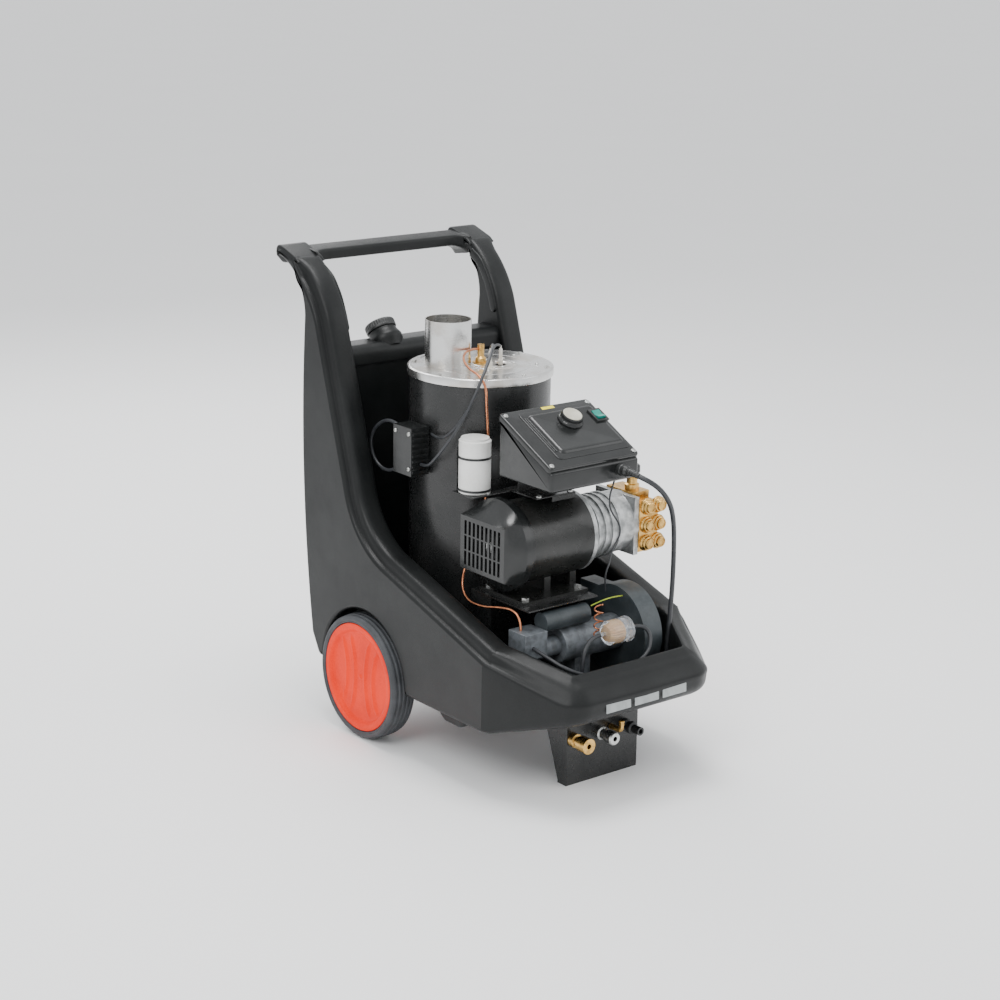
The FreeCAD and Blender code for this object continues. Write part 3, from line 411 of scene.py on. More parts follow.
def slab(outline, low, high, radius=3.0, axis="x", steps=4, place=None):
    outline = withoutDoubles(np.asarray(outline, float))
    normal = inwards(outline)
    turn = np.linspace(0, math.pi / 2, steps + 1)
    radius = min(radius, 0.49 * (high - low))
    inset = radius * (1 - np.sin(turn))
    level = low + radius * (1 - np.cos(turn))
    inset = np.concatenate([inset, inset[::-1]])
    level = np.concatenate([level, (low + high - level)[::-1]])
    flat = outline[None] + normal[None] * inset[:, None, None]
    rings = np.concatenate([flat, np.broadcast_to(level[:, None, None], flat.shape[:2] + (1,))], axis=2)
    rings = rings[:, :, list(axisOrder[axis])] if axis != "z" else rings
    faces = tubeFaces(*rings.shape[:2])
    points = rings.reshape(-1, 3)
    x, y = outline[:, 0], outline[:, 1]
    if (x * np.roll(y, -1) - y * np.roll(x, -1)).sum() < 0:
        faces = [f[::-1] for f in faces]
    if place is not None:
        points = moved(points, place)
    return points, faces


# the four corners of a rectangle
def rectangle(x0, y0, x1, y1):
    return [(x0, y0), (x1, y0), (x1, y1), (x0, y1)]


# a box whose upright and flat edges are rounded
def roundBlock(low, high, radius=3.0, corner=None, axis="z", place=None):
    a, b, c = {"z": (0, 1, 2), "x": (1, 2, 0), "y": (2, 0, 1)}[axis]
    outline = rounded(rectangle(low[a], low[b], high[a], high[b]), corner or radius)
    return slab(outline, low[c], high[c], radius, axis, place=place)


# a profile of (radius, height) turned about its axis, at place
def turned(profile, place=None, steps=64, closed=False):
    profile = np.asarray(profile, float)
    angle = np.linspace(0, 2 * math.pi, steps, endpoint=False)
    r, h = profile[:, 0][:, None], profile[:, 1][:, None]
    points = np.stack([r * np.cos(angle), r * np.sin(angle), h + 0 * angle[None]], axis=2)
    faces = gridFaces(len(profile), steps, closeRows=closed, closeColumns=True)
    points = points.reshape(-1, 3)
    if place is not None:
        points = moved(points, place)
    return points, faces.tolist()


def fluted(height, radius, angle):  # rings of points, with a radius for each height and angle
    return np.stack([radius * np.cos(angle), radius * np.sin(angle),
                     np.broadcast_to(height[:, None], radius.shape)], axis=2).reshape(-1, 3)


# a place, and a turn made before it
def at(x, y, z, turn=None):
    return Matrix.Translation((x, y, z)) @ (turn or Matrix.Identity(4))


alongX = Matrix.Rotation(math.pi / 2, 4, "Y")
againstX = Matrix.Rotation(-math.pi / 2, 4, "Y")
towardsFront = Matrix.Rotation(math.pi / 2, 4, "X")


# a profile whose corners are softened: each becomes a short curve
def softProfile(profile, radius=1.0, steps=3):
    profile = np.asarray(profile, float)
    inner = profile[1:-1]
    before, after = profile[:-2] - inner, profile[2:] - inner
    sizes = [np.maximum(np.linalg.norm(v, axis=1, keepdims=True), 1e-6) for v in (before, after)]
    trim = np.minimum(radius, 0.45 * np.minimum(*sizes))
    t = np.linspace(0, 1, steps + 1)[None, :, None]
    first, last = inner + before / sizes[0] * trim, inner + after / sizes[1] * trim
    bend = quadratic(first[:, None], inner[:, None], last[:, None], t)
    return np.concatenate([profile[:1], bend.reshape(-1, 2), profile[-1:]])


# a round tube along points (already dense)
def rodAlong(points, radius, sides=12):
    points = np.asarray(points, float)
    tangent = directions(points)
    guide = np.array([0.31, 0.52, 0.79])
    across = np.cross(tangent, guide)
    across /= np.linalg.norm(across, axis=1, keepdims=True)
    third = np.cross(tangent, across)
    angle = np.linspace(0, 2 * math.pi, sides, endpoint=False)
    radius = np.broadcast_to(np.asarray(radius, float), len(points))[:, None, None]
    ring = across[:, None] * np.cos(angle)[None, :, None] + third[:, None] * np.sin(angle)[None, :, None]
    rings = points[:, None] + ring * radius
    return rings.reshape(-1, 3), tubeFaces(len(points), sides)


bevelSteps, bevelAngle = 2, 32  # how finely edges are rounded, and the least angle that counts as an edge


# a copy of a CAD node with its doubles merged, its flat faces joined and its edges bevelled
def softened(node, finish, width):
    source = nodes[node]
    mesh = source.data.copy()
    shell = bmesh.new()
    shell.from_mesh(mesh)
    bmesh.ops.remove_doubles(shell, verts=shell.verts, dist=1e-5)
    bmesh.ops.dissolve_limit(shell, angle_limit=math.radians(0.6), verts=shell.verts, edges=shell.edges)
    shell.to_mesh(mesh)
    shell.free()
    obj = bpy.data.objects.new(node + "_soft", mesh)
    bpy.context.scene.collection.objects.link(obj)
    bevel = obj.modifiers.new("edges", "BEVEL")
    bevel.width = width * mm
    bevel.segments = bevelSteps
    bevel.limit_method = "ANGLE"
    bevel.angle_limit = math.radians(bevelAngle)
    smooth(mesh, 30)
    return give(obj, finish, bodyOfNode[node], (node,))


# camera, floor and light

cameraPlace = dict(at=(-2.74196, -3.36853, 1.71744), yaw=39.04, pitch=15.76, roll=1.04, lens=80.26)


# a camera that looks along yaw and pitch and leans by roll
def makeCamera(at, yaw, pitch, roll, lens):
    yaw, pitch, roll = (math.radians(angle) for angle in (yaw, pitch, roll))
    forward = Vector((math.sin(yaw) * math.cos(pitch), math.cos(yaw) * math.cos(pitch), -math.sin(pitch)))
    level = Vector((math.cos(yaw), -math.sin(yaw), 0))
    upright = level.cross(forward)
    right = level * math.cos(roll) + upright * math.sin(roll)
    up = upright * math.cos(roll) - level * math.sin(roll)
    data = bpy.data.cameras.new("camera")
    data.lens = lens
    data.sensor_width = 36
    data.clip_end = 50
    camera = bpy.data.objects.new("camera", data)
    turn = Matrix((right, up, -forward)).transposed().to_4x4()
    camera.matrix_world = Matrix.Translation(at) @ turn
    bpy.context.scene.collection.objects.link(camera)
    bpy.context.scene.camera = camera


makeCamera(**cameraPlace)

lightSettings = [
    # name, place, size, power
    ("keySoftbox", (-2.8, -1.4, 3.2), 1.8, 60),
    ("fillSoftbox", (2.8, -2.6, 2.4), 2.2, 22),
    ("backSoftbox", (0.6, 3.0, 2.6), 2.0, 60),
    ("topSoftbox", (0.0, 0.2, 3.6), 1.4, 80),
]
for name, place, size, power in lightSettings:
    lamp = bpy.data.lights.new(name, "AREA")
    lamp.energy = power
    lamp.size = size
    holder = bpy.data.objects.new(name, lamp)
    aim = Vector((0, 0, 0.45)) - Vector(place)
    holder.matrix_world = Matrix.Translation(place) @ aim.to_track_quat("-Z", "Y").to_matrix().to_4x4()
    bpy.context.scene.collection.objects.link(holder)

world = bpy.data.worlds.new("studio")
world.use_nodes = True
world.node_tree.nodes["Background"].inputs["Color"].default_value = (0.97, 0.985, 1.0, 1)
world.node_tree.nodes["Background"].inputs["Strength"].default_value = 1.2
bpy.context.scene.world = world

floorFinish = Finish("paleFloor", Roughness=0.75)
floorFinish.set(BaseColor=floorFinish.mix(floorFinish.noise(1.5, 2.0), shade(0.93, 0.93, 0.93),
                                          shade(0.96, 0.96, 0.96)))
floorMesh = bpy.data.meshes.new("floor")
floorMesh.from_pydata([(-70, -70, 0), (70, -70, 0), (70, 70, 0), (-70, 70, 0)], [], [(0, 1, 2, 3)])
floorMesh.materials.append(floorFinish.material)
floorPiece = bpy.data.objects.new("floor", floorMesh)
bpy.context.scene.collection.objects.link(floorPiece)
print("camera, light and floor")


# cords and pipes

def splinePiece(name, points, diameter, finish, stands=()):
    curve = bpy.data.curves.new(name, "CURVE")
    curve.dimensions = "3D"
    curve.bevel_depth = diameter / 2 * mm
    curve.bevel_resolution = 4
    curve.resolution_u = 10
    curve.use_fill_caps = True
    spline = curve.splines.new("NURBS")
    spline.points.add(len(points) - 1)
    spline.points.foreach_set("co", (np.array([(*p, 1000) for p in points], float) * mm).ravel())
    spline.order_u = 3
    spline.use_endpoint_u = True
    obj = bpy.data.objects.new(name, curve)
    bpy.context.scene.collection.objects.link(obj)
    return give(obj, finish, "machine", stands)


# free cords: their route's points, diameter and real length, all in millimetres
cords = {
    "power_cable": dict(
        points=[(52, -313, 612), (57, -350, 607), (86, -366, 586), (122, -360, 548), (149, -343, 500),
                (166, -328, 442), (174, -320, 380), (174, -317, 315), (168, -318, 258), (163, -321, 210),
                (162, -322, 166)],
        diameter=10, length=523, stiffness="medium", lay="hanging"),
    "transformer_cable": dict(
        points=[(-168, 120, 640), (-169, 142, 650), (-171, 176, 648), (-172, 210, 625), (-172, 224, 592),
                (-172, 212, 560), (-171, 184, 543), (-169, 150, 546), (-168, 120, 566)],
        diameter=7, length=266, stiffness="medium", lay="loose"),
    "ignition_lead": dict(
        points=[(-168, 57, 580), (-171, 34, 580), (-176, 4, 600), (-170, -30, 640), (-155, -60, 690),
                (-134, -72, 742), (-106, -60, 776), (-74, -38, 796), (-44, -10, 812), (-22, 16, 814),
                (-12, 34, 804)],
        diameter=6, length=416, stiffness="medium", lay="loose"),
    "filter_hose": dict(
        points=[(58, -335, 303), (76, -338, 304), (90, -350, 290), (82, -362, 264), (52, -370, 246),
                (4, -374, 238), (-48, -376, 238), (-94, -370, 244), (-128, -346, 260), (-140, -310, 274),
                (-140, -270, 280)],
        diameter=8, length=373, stiffness="limp", lay="loose"),
    "suction_hose": dict(
        points=[(-28, -335, 303), (-48, -336, 302), (-70, -340, 286), (-78, -344, 256), (-80, -343, 222),
                (-78, -340, 192), (-77, -338, 166)],
        diameter=8, length=168, stiffness="limp", lay="hanging"),
}
for name, facts in cords.items():
    piece = splinePiece(name + "_curve", facts["points"], facts["diameter"], "cableRubber", (name,))
    tuple(v * mm for v in facts["points"][0])
    facts["length"] * mm
    facts["diameter"] * mm

nozzlePipePoints = [
    (-7, 82, 790), (-28, 74, 794), (-58, 60, 794), (-84, 34, 786), (-95, 0, 775), (-99, -36, 770),
    (-100, -62, 752), (-97, -60, 712), (-86, -52, 662), (-82, -49, 600), (-82, -47, 535), (-86, -42, 480),
    (-98, -35, 432), (-120, -34, 392), (-146, -50, 356), (-164, -90, 335), (-165, -140, 334),
    (-156, -182, 343), (-148, -216, 346), (-146, -236, 332), (-146, -238, 309)]
pressurePipePoints = [
    (214, -82, 470), (214, -50, 471), (206, -8, 462), (192, 26, 440), (180, 54, 406), (172, 72, 366),
    (160, 82, 342), (144, 86, 330)]
splinePiece("nozzle_pipe_curve", nozzlePipePoints, 5, "copper", ("nozzle_pipe",))
splinePiece("pressure_pipe_curve", pressurePipePoints, 14, "zincSteel", ("pressure_pipe",))
print("cords and pipes")


# chassis

chassisSizes = dict(width=257, crestSlope=142 / 452, slopeStart=-409, noseCrest=250, arch=140,
                    archMiddle=(131, 130), join=-269, sill=130, rimDepth=34)

# the rim's section, as (outward, upward) steps from its outer top edge: on the sides with the stepped
# shoulder, on plain edges, and at the front
sideRows = np.array([(0, -34), (0, -29), (-0.8, -25.6), (-3, -23), (-7, -21.9), (-10.4, -21.2), (-12, -19),
                     (-12.6, -14), (-13.4, -8.6), (-15.6, -4), (-19.4, -1.2), (-25, 0), (-34, 0.4), (-47, 0),
                     (-56, -0.3), (-61, -2.4), (-64, -6), (-65, -12), (-65, -34)], float)
plainRows = np.array([(0, -10), (0, -9), (0, -7.6), (-0.2, -6.2), (-0.6, -4.9), (-1.2, -3.6), (-2.1, -2.4),
                      (-3.3, -1.4), (-4.8, -0.6), (-6.4, -0.1), (-8, 0), (-18, 0), (-32.5, 0), (-47, 0),
                      (-57, 0), (-60.6, -1.0), (-63.6, -3.6), (-65, -7.4), (-65, -10)], float)
frontRows = np.array([(-1, -42), (0, -37), (-0.3, -33.5), (-1.6, -30.4), (-4.4, -26), (-8.4, -21),
                      (-12.8, -16), (-17.4, -11), (-22, -6.8), (-27.4, -3), (-33, -0.6), (-38, 1.2),
                      (-41.5, 3.6), (-45, 5.6), (-48.4, 6.6), (-51, 5.6), (-53, 2.4), (-54.5, -3),
                      (-57, -20)], float)
frontFoot = np.array([(-2.5, 24), (-3.6, 19), (-5.2, 14.6), (-7.4, 11), (-10, 8), (-13, 5.6), (-16, 3.9),
                      (-19.2, 2.5), (-22, 1.4), (-25.4, 0.6), (-29, 0.1), (-33, 0), (-38, 0), (-44, 0),
                      (-50, 1), (-55, 4), (-59, 9), (-62, 16), (-63, 26)], float)


def arcThrough(a, b, c, steps):  # points of the circle through three points, without the first
    a, b, c = (np.array(p, float) for p in (a, b, c))
    d = 2 * (a[0] * (b[1] - c[1]) + b[0] * (c[1] - a[1]) + c[0] * (a[1] - b[1]))
    squares = [(p ** 2).sum() for p in (a, b, c)]
    ux = (squares[0] * (b[1] - c[1]) + squares[1] * (c[1] - a[1]) + squares[2] * (a[1] - b[1])) / d
    uy = (squares[0] * (c[0] - b[0]) + squares[1] * (a[0] - c[0]) + squares[2] * (b[0] - a[0])) / d
    middle = np.array([ux, uy])
    angles = [math.atan2(*(p - middle)[::-1]) for p in (a, b, c)]
    first, half, last = np.unwrap([angles[0], angles[1], angles[2]])
    if (half - first) * (last - first) < 0 or abs(half - first) > abs(last - first):
        last += math.copysign(2 * math.pi, half - first)
    turn = np.linspace(first, last, steps + 1)[1:]
    return middle + np.linalg.norm(a - middle) * np.stack([np.cos(turn), np.sin(turn)], axis=1)


def resample(line, step):  # even points along an open line
    length = distances(line)
    count = max(2, int(round(length[-1] / step)) + 1)
    spots = np.linspace(0, length[-1], count)
    return np.stack([np.interp(spots, length, line[:, k]) for k in range(line.shape[1])], axis=1)


def softenLine(line, radius, steps=8):  # an open line whose inner corners become curves
    inner = rounded(line, radius, steps).reshape(len(line), steps + 1, 2)[1:-1].reshape(-1, 2)
    return np.concatenate([line[:1], inner, line[-1:]])


def cornerTrim(line):  # how far each corner is cut back: only real corners are softened
    ahead = np.diff(line, axis=0)
    turn = np.abs(np.diff(np.unwrap(np.arctan2(ahead[:, 1], ahead[:, 0]))))
    turn = np.concatenate([[0], turn, [0]])
    return np.where(turn > 0.5, 20.0, 2.0)


# the outline of one side in y and z: crest and arm, rear edge, wheel arch and foot, with its upward normals
def sideWall():
    s = chassisSizes
    join = s["join"]
    crestAtJoin = s["noseCrest"] + s["crestSlope"] * (join - s["slopeStart"])
    start = np.array([[join, crestAtJoin]])
    rise = np.concatenate([
        start, [[43, 392]], arcThrough((43, 392), (122, 435), (172, 525), 14), [[272, 845]],
        arcThrough((272, 845), (308, 905), (368, 956), 10), [[428, 970]]])
    rise = softenLine(rise, 12, 3)
    rear = np.concatenate([[[443, 955]], arcThrough((443, 955), (360, 910), (338, 844), 12),
                           arcThrough((338, 844), (346, 500), (316, 175), 16), [[291, 130]]])
    ax, az = s["archMiddle"]
    turn = np.linspace(0, math.pi, 41)
    arch = np.stack([ax + s["arch"] * np.cos(turn), az + s["arch"] * np.sin(turn)], axis=1)
    foot = join + s["rimDepth"] * math.sin(math.atan(s["crestSlope"]))
    line = np.concatenate([rise, rear, arch, [[foot, s["sill"]]]])
    line = thinned(line, 0.3)
    # corners of the arm's top, the foot and the arch get small curves
    line = softenLine(line, cornerTrim(line), 6)
    line = thinned(line, 0.5)
    # extra stations along the long crest
    parts = []
    for a, b in zip(line[:-1], line[1:]):
        count = max(1, int(np.linalg.norm(b - a) // 26))
        parts.append(a + (b - a) * np.arange(count)[:, None] / count)
    line = np.concatenate(parts + [line[-1:]])
    ahead = np.gradient(line, axis=0)
    ahead[0], ahead[-1] = line[1] - line[0], line[-1] - line[-2]
    ahead /= np.linalg.norm(ahead, axis=1, keepdims=True)
    upward = np.stack([-ahead[:, 1], ahead[:, 0]], axis=1)
    return line, upward


# 0 below low and 1 above high, by 3t squared less 2t cubed
def smoothRamp(value, low, high):
    t = np.clip((value - low) / (high - low), 0, 1)
    return t * t * (3 - 2 * t)


def rimWeight(line):  # 1 where the shoulder is stepped, 0 on plain edges; it fades out below the arm's top
    length = distances(line)
    top = length[np.argmax(line[:, 1])]
    return smoothRamp(top - 34 - length, 0, 60)


# triangles that fill a closed line lying in a plane of constant x, even where the line crosses itself
def flatCap(line):
    made = delaunay_2d_cdt([Vector(p) for p in line[:, 1:].tolist()], [], [list(range(len(line)))], 1, 1e-3)
    spots = np.array([tuple(p) for p in made[0]])
    return np.concatenate([np.full((len(spots), 1), line[0, 0]), spots], axis=1), [list(f) for f in made[2]]


# the side outline and the nose's plan line each carry the rim's section along them
def makeChassisShell():
    s = chassisSizes
    line, upward = sideWall()
    weight = rimWeight(line)[:, None, None]
    rows = sideRows[None] * weight + plainRows[None] * (1 - weight)
    n, m = rows.shape[:2]
    spots = line[:, None, :] + upward[:, None, :] * rows[:, :, 1:2]
    x = np.broadcast_to(-s["width"] - rows[:, :, 0], (n, m))
    wall = np.concatenate([x[:, :, None], spots], axis=2)
    faces = gridFaces(n, m).tolist()
    caps = joined(flatCap(wall[:, 0]), flatCap(wall[:, -1]))
    # plan line of the front: from the left side's join round the nose to the middle
    plan = np.array([(-s["width"], s["join"]), (-252, -283), (-193, -401), (-180, -425), (-150, -442),
                     (0, -443)],
                    float)
    plan = softenLine(plan, 60, 12)
    plan = resample(plan, 5.5)
    plan[0] = (-s["width"], s["join"])
    along = directions(plan)
    out = np.stack([along[:, 1], -along[:, 0]], axis=1)
    out[0] = (-1, 0)
    out[-1] = (0, -1)
    travelled = distances(plan)
    outerBlend = smoothRamp(travelled, 20, 190)[:, None, None]
    innerBlend = smoothRamp(travelled, 0, 60)[:, None, None]
    share = np.linspace(0, 1, len(sideRows))[None, :, None]
    blend = outerBlend * (1 - share) + innerBlend * share
    top = sideRows[None] * (1 - blend) + frontRows[None] * blend
    base = plan[:, None, :] + out[:, None, :] * top[:, :, :1]

    def crest(y):
        return s["noseCrest"] + s["crestSlope"] * np.maximum(y - s["slopeStart"], 0)

    slope = math.atan(s["crestSlope"])
    settled = (1 - smoothRamp(travelled, 0, 120))[:, None]
    tilt = settled * slope
    up = np.stack([0 * tilt, -np.sin(tilt), np.cos(tilt)], axis=2)
    stationCrest = crest(np.broadcast_to(plan[:, None, 1], base.shape[:2]))
    z = np.where(innerBlend[:, :, 0] > 0, crest(base[:, :, 1]), stationCrest)
    upper = np.concatenate([base, z[:, :, None]], axis=2) + up * top[:, :, 1:2]
    foot = frontFoot[None] * blend + plainRows[None] * [1, -1] * (1 - blend)
    footBase = plan[:, None, :] + out[:, None, :] * foot[:, :, :1]
    footBase[:, :, 1] += settled * s["rimDepth"] * math.sin(slope)

    def under(y):
        return s["sill"] + 42 / 155 * np.maximum(-274 - y, 0)

    lower = np.concatenate([footBase, (under(footBase[:, :, 1]) + foot[:, :, 1])[:, :, None]], axis=2)
    ring = np.concatenate([upper, lower[:, ::-1]], axis=1)
    ringFaces = gridFaces(*ring.shape[:2], closeColumns=True)[:, ::-1].tolist()
    left = joined((wall, faces), caps, (ring, ringFaces))
    shell = meshPiece("chassis_shell", *bothSides(left), angle=38, merge=0.3)
    facingOut(shell, flatSides=True)
    return give(shell, "blackMoulding", "machine", ("chassis",))


makeChassisShell()


# the tub and tank section in y and z, carried across x and narrowed towards the nose
def makeTub():
    outline = rounded([(-386, 165), (-386, 161), (-274, 130.5), (290, 130.5), (316, 176), (328, 260),
                       (336, 400), (338, 500), (338, 771), (326, 783), (274, 783), (262, 771), (262, 744),
                       (266, 740), (266, 200), (262, 190), (242, 165)],
                      [2, 2, 10, 14, 30, 30, 30, 30, 12, 14, 14, 12, 3, 3, 6, 14, 24], 5)
    outline = withoutDoubles(outline)
    share = np.linspace(-1, 1, 25)
    y = outline[:, 0]
    half = np.where(y < -262, np.interp(y, [-400, -262], [138, 194]), 194.0)
    x = share[:, None] * half[None]
    rings = np.stack([x, np.broadcast_to(y, x.shape), np.broadcast_to(outline[:, 1], x.shape)], axis=2)
    faces = tubeFaces(*rings.shape[:2])
    tub = meshPiece("tub_and_tank", rings.reshape(-1, 3), faces, angle=40)
    facingOut(tub)
    return give(tub, "blackMoulding")


makeTub()


# the crossbar: a rounded section carried across the machine, which swells into the arms at both ends
def makeCrossbar():
    section = rounded([(392, 941), (430, 937), (430, 971), (392, 963)], 6, 5)
    middle = section.mean(axis=0)
    x = np.concatenate([np.linspace(-200, -150, 15), np.linspace(-140, 140, 15), np.linspace(150, 200, 15)])
    reach = np.clip((np.abs(x) - 158) / 36, 0, 1)
    swell = 1 - np.sqrt(np.maximum(1 - reach ** 2, 0))
    low = np.where(section[:, 1] < middle[1], section[:, 1] - middle[1], 0)
    front = np.where(section[:, 0] < middle[0], section[:, 0] - middle[0], 0)
    y = section[None, :, 0] + swell[:, None] * front[None]
    z = section[None, :, 1] + swell[:, None] * low[None] * 1.3
    rings = np.stack([np.broadcast_to(x[:, None], y.shape), y, z], axis=2)
    faces = tubeFaces(*rings.shape[:2])
    return moulding("crossbar", (rings.reshape(-1, 3), faces), angle=50)


makeCrossbar()


# a pad over each arm, and a rib along the inside of each arm, its width closing in a half circle
def makeArmTops():
    pad = rounded([(360, 946), (372, 957), (428, 975), (437, 975), (443, 968), (443, 952), (420, 940)], 5, 4)
    left = slab(pad, -254, -187, 4)
    moulding("arm_tops", bothSides(left))
    # raised rib inside each arm, rounded at its foot
    spine = np.array([(362, 930), (333, 915), (306, 880), (291, 846), (279, 812)], float)
    spine = resample(softenLine(spine, 14, 6), 4)
    ahead = directions(spine)
    side = np.stack([ahead[:, 1], -ahead[:, 0]], axis=1)
    travelled = np.linspace(0, 1, len(spine))
    half = 10 * np.sqrt(np.clip(1 - np.maximum((travelled - 0.93) / 0.07, 0) ** 2, 0.02, 1))
    outline = np.concatenate([spine + side * half[:, None], (spine - side * half[:, None])[::-1]])
    left = slab(outline, -196, -188, 3.5)
    moulding("arm_ribs", bothSides(left))


makeArmTops()


# a half disc closing each arch, and a turned boss for the axle
def makeArches():
    ax, az = chassisSizes["archMiddle"]
    turn = np.linspace(-0.02, math.pi + 0.02, 49)
    half = np.stack([ax + 140.6 * np.cos(turn), az + 140.6 * np.sin(turn)], axis=1)
    disc = slab(half, -211, -190.5, 0.5)
    boss = turned(softProfile([(0, 0), (26, 0), (26, 9), (20, 12), (11, 12), (11, 0)], 1.5),
                  at(-211, ax, az, againstX), 48)
    moulding("arch_walls", bothSides(disc))
    moulding("axle_bosses", bothSides(boss))


makeArches()

neckTurn = Matrix.Rotation(math.radians(-38), 4, "X")
neckPlace = at(-78, 300, 777, neckTurn)


# a turned neck, and a cap whose radius falls by a cosine at each of its flutes
def makeNeck():
    profile = softProfile([(29, -20), (31, -14), (36, -3), (36.5, 5), (32.5, 13), (30.5, 18), (30, 24),
                           (25, 24), (25, -8)], 2.5)
    moulding("filler_neck", turned(profile, neckPlace, 72))
    # the cap's grip: its radius rises and falls with the angle
    height = np.concatenate([[24.3, 24.8, 26, 29], np.linspace(30, 39, 5), [41, 42.2, 42.3]])
    base = np.array([31, 31.8, 32.4, 32.4, 32.2, 32.4, 32.4, 32.4, 32.2, 31, 28.5, 20])
    share = np.array([0, 0, 0, 0, 1, 1, 1, 1, 1, 0.5, 0, 0])
    angle = np.linspace(0, 2 * math.pi, 216, endpoint=False)
    wave = 0.5 - 0.5 * np.cos(36 * angle)
    radius = base[:, None] - share[:, None] * wave[None] * 1.1
    grip = fluted(height, radius, angle)
    rise = turned([(20, 42.3), (19, 41.3), (12, 41.2), (0, 41.2)], None, 216)
    under = turned([(0, 2), (23.5, 2), (23.5, 24.3), (31, 24.3)], None, 216)
    points, faces = joined((grip, gridFaces(len(height), 216, closeColumns=True)), rise, under)
    points = moved(points, neckPlace)
    give(meshPiece("fuel_cap_grip", points, faces), "satinMoulding", "cap", ("fuel_cap",))


makeNeck()


# an outline in y and z carried across x
def makeSumpRest():
    outline = rounded([(-60, 140), (-80, 106), (-96, 95), (-146, 95), (-162, 106), (-182, 140)], 8, 4)
    moulding("sump_rest", slab(outline, -221, -157, 6))


makeSumpRest()
print("chassis")


# wheels

wheelSizes = dict(tyre=130, face=273, width=58, disc=113, grooves=4)


# the tyre is a turned profile with bell-shaped grooves; the disc is a height over its plane, raised by
# bell-shaped ribs
def makeWheel(side, label):
    w = wheelSizes
    inner = w["face"] - w["width"]
    place = at(side * inner, *chassisSizes["archMiddle"], alongX if side > 0 else againstX)
    width = w["width"]
    # across the tread: shoulders, then a crown cut by four round grooves
    across = np.linspace(9, width - 7, 60)
    crown = w["tyre"] - 1.8 * ((across - width / 2) / (width / 2 - 8)) ** 2
    groove = np.zeros_like(across)
    for k in range(w["grooves"]):
        middle = 15 + k * (width - 28) / (w["grooves"] - 1)
        groove += 3.2 * np.exp(-((across - middle) / 1.5) ** 2)
    tread = np.stack([crown - groove, across], axis=1)
    shoulder = [(112.5, 3), (116, 1.2), (120, 0.4), (124, 1.6), (127, 4.6)]
    outer = [(126.6, width - 4.2), (124, width - 1.6), (121, width - 0.4), (118.5, width - 1.1),
             (117.6, width - 1.7), (116.6, width - 1.0), (114.8, width - 1.4), (113.4, width - 4.4)]
    profile = np.concatenate([shoulder, tread, outer, [(112.5, 3)]])
    tyre = turned(profile, place, 128)
    give(meshPiece("tyre_" + label + "_tread", *tyre, angle=60), "tyreRubber",
         "wheel_" + label,
         ("tyre_" + label,))
    # two pairs of curved ribs cross the disc
    rings = np.concatenate([[0.0, 2.5, 4.5, 5.5, 7], np.linspace(9, 90, 46), [92, 94, 96, 98, 101, 104, 106]])
    angle = np.linspace(0, 2 * math.pi, 240, endpoint=False)
    r, a = np.meshgrid(rings, angle, indexing="ij")
    v, u = r * np.cos(a), r * np.sin(a)  # v runs up the wheel and u across it
    dish = width - 10.5 + 0 * r
    for sign in (-1, 1):
        for reach, bend, size, end in ((17, 420, 4.0, 78), (44, 300, 4.4, 66)):
            spine = sign * (reach + v * v / bend)
            distance = np.abs(u - spine)
            fade = 1 - smoothRamp(np.abs(v), end - 14, end + 8)
            dish += size * np.exp(-(distance / 4.2) ** 2) * fade
    dish += 2.2 * np.exp(-(r / 4.2) ** 4)
    dish += smoothRamp(r, 92, 101) * 7.5
    points = np.stack([v, u, dish], axis=2).reshape(-1, 3)
    points = moved(points, place)
    rim = turned([(106, width - 3.0), (109.5, width - 2.2), (112, width - 3), (113.2, width - 6), (113.2, 5),
                  (108, 4.5), (107, 38), (90, 38), (26, 38), (24, 36), (24, 1), (10.1, 1),
                  (10.1, width - 12)], place,
                  240)
    points, faces = joined((points, gridFaces(len(rings), 240, closeColumns=True)), rim)
    give(meshPiece("rim_" + label + "_disc", points, faces, angle=50), "orangePlastic",
         "wheel_" + label, ("rim_" + label,))


makeWheel(-1, "left")
makeWheel(1, "right")
print("wheels")


# CAD nodes that keep their shape, with their finish

nodeFinishes = {
    "axle": "zincSteel", "axle_clips": "zincSteel", "bracket_bolts": "zincSteel", "lid_bolts": "zincSteel",
    "boiler_shell": "blackSheet", "heating_coil": "coilSteel", "burner_head": "brass",
    "ignition_electrodes": "ceramic", "motor_bolts": "zincSteel", "stator": "laminations",
    "end_shields": "castAluminium", "motor_bearings": "zincSteel", "motor_shaft": "zincSteel",
    "rotor_core": "laminations", "cooling_fan": "satinMoulding", "swash_plate": "zincSteel",
    "plungers": "ceramic", "box_screws": "zincSteel", "chimney": "flueSteel",
    "blower_impeller": "darkEnamel", "power_rocker": "rockerGreen",
    "fuel_filter": "clearPlastic", "capacitor_ties": "satinMoulding", "motor_frame": "motorPaint",
    "switch_housing": "satinMoulding", "fan_cowl": "glossMoulding", "water_inlet": "brass",
    "pressure_outlet": "zincSteel", "detergent_barb": "satinMoulding", "cable_gland": "satinMoulding",
    "unloader_valve": "brass", "unloader_knob": "satinMoulding", "run_capacitor": "whitePlastic",
    "burner_capacitor": "darkEnamel",
}
for name, finish in nodeFinishes.items():
    coat(nodes[name], finish)

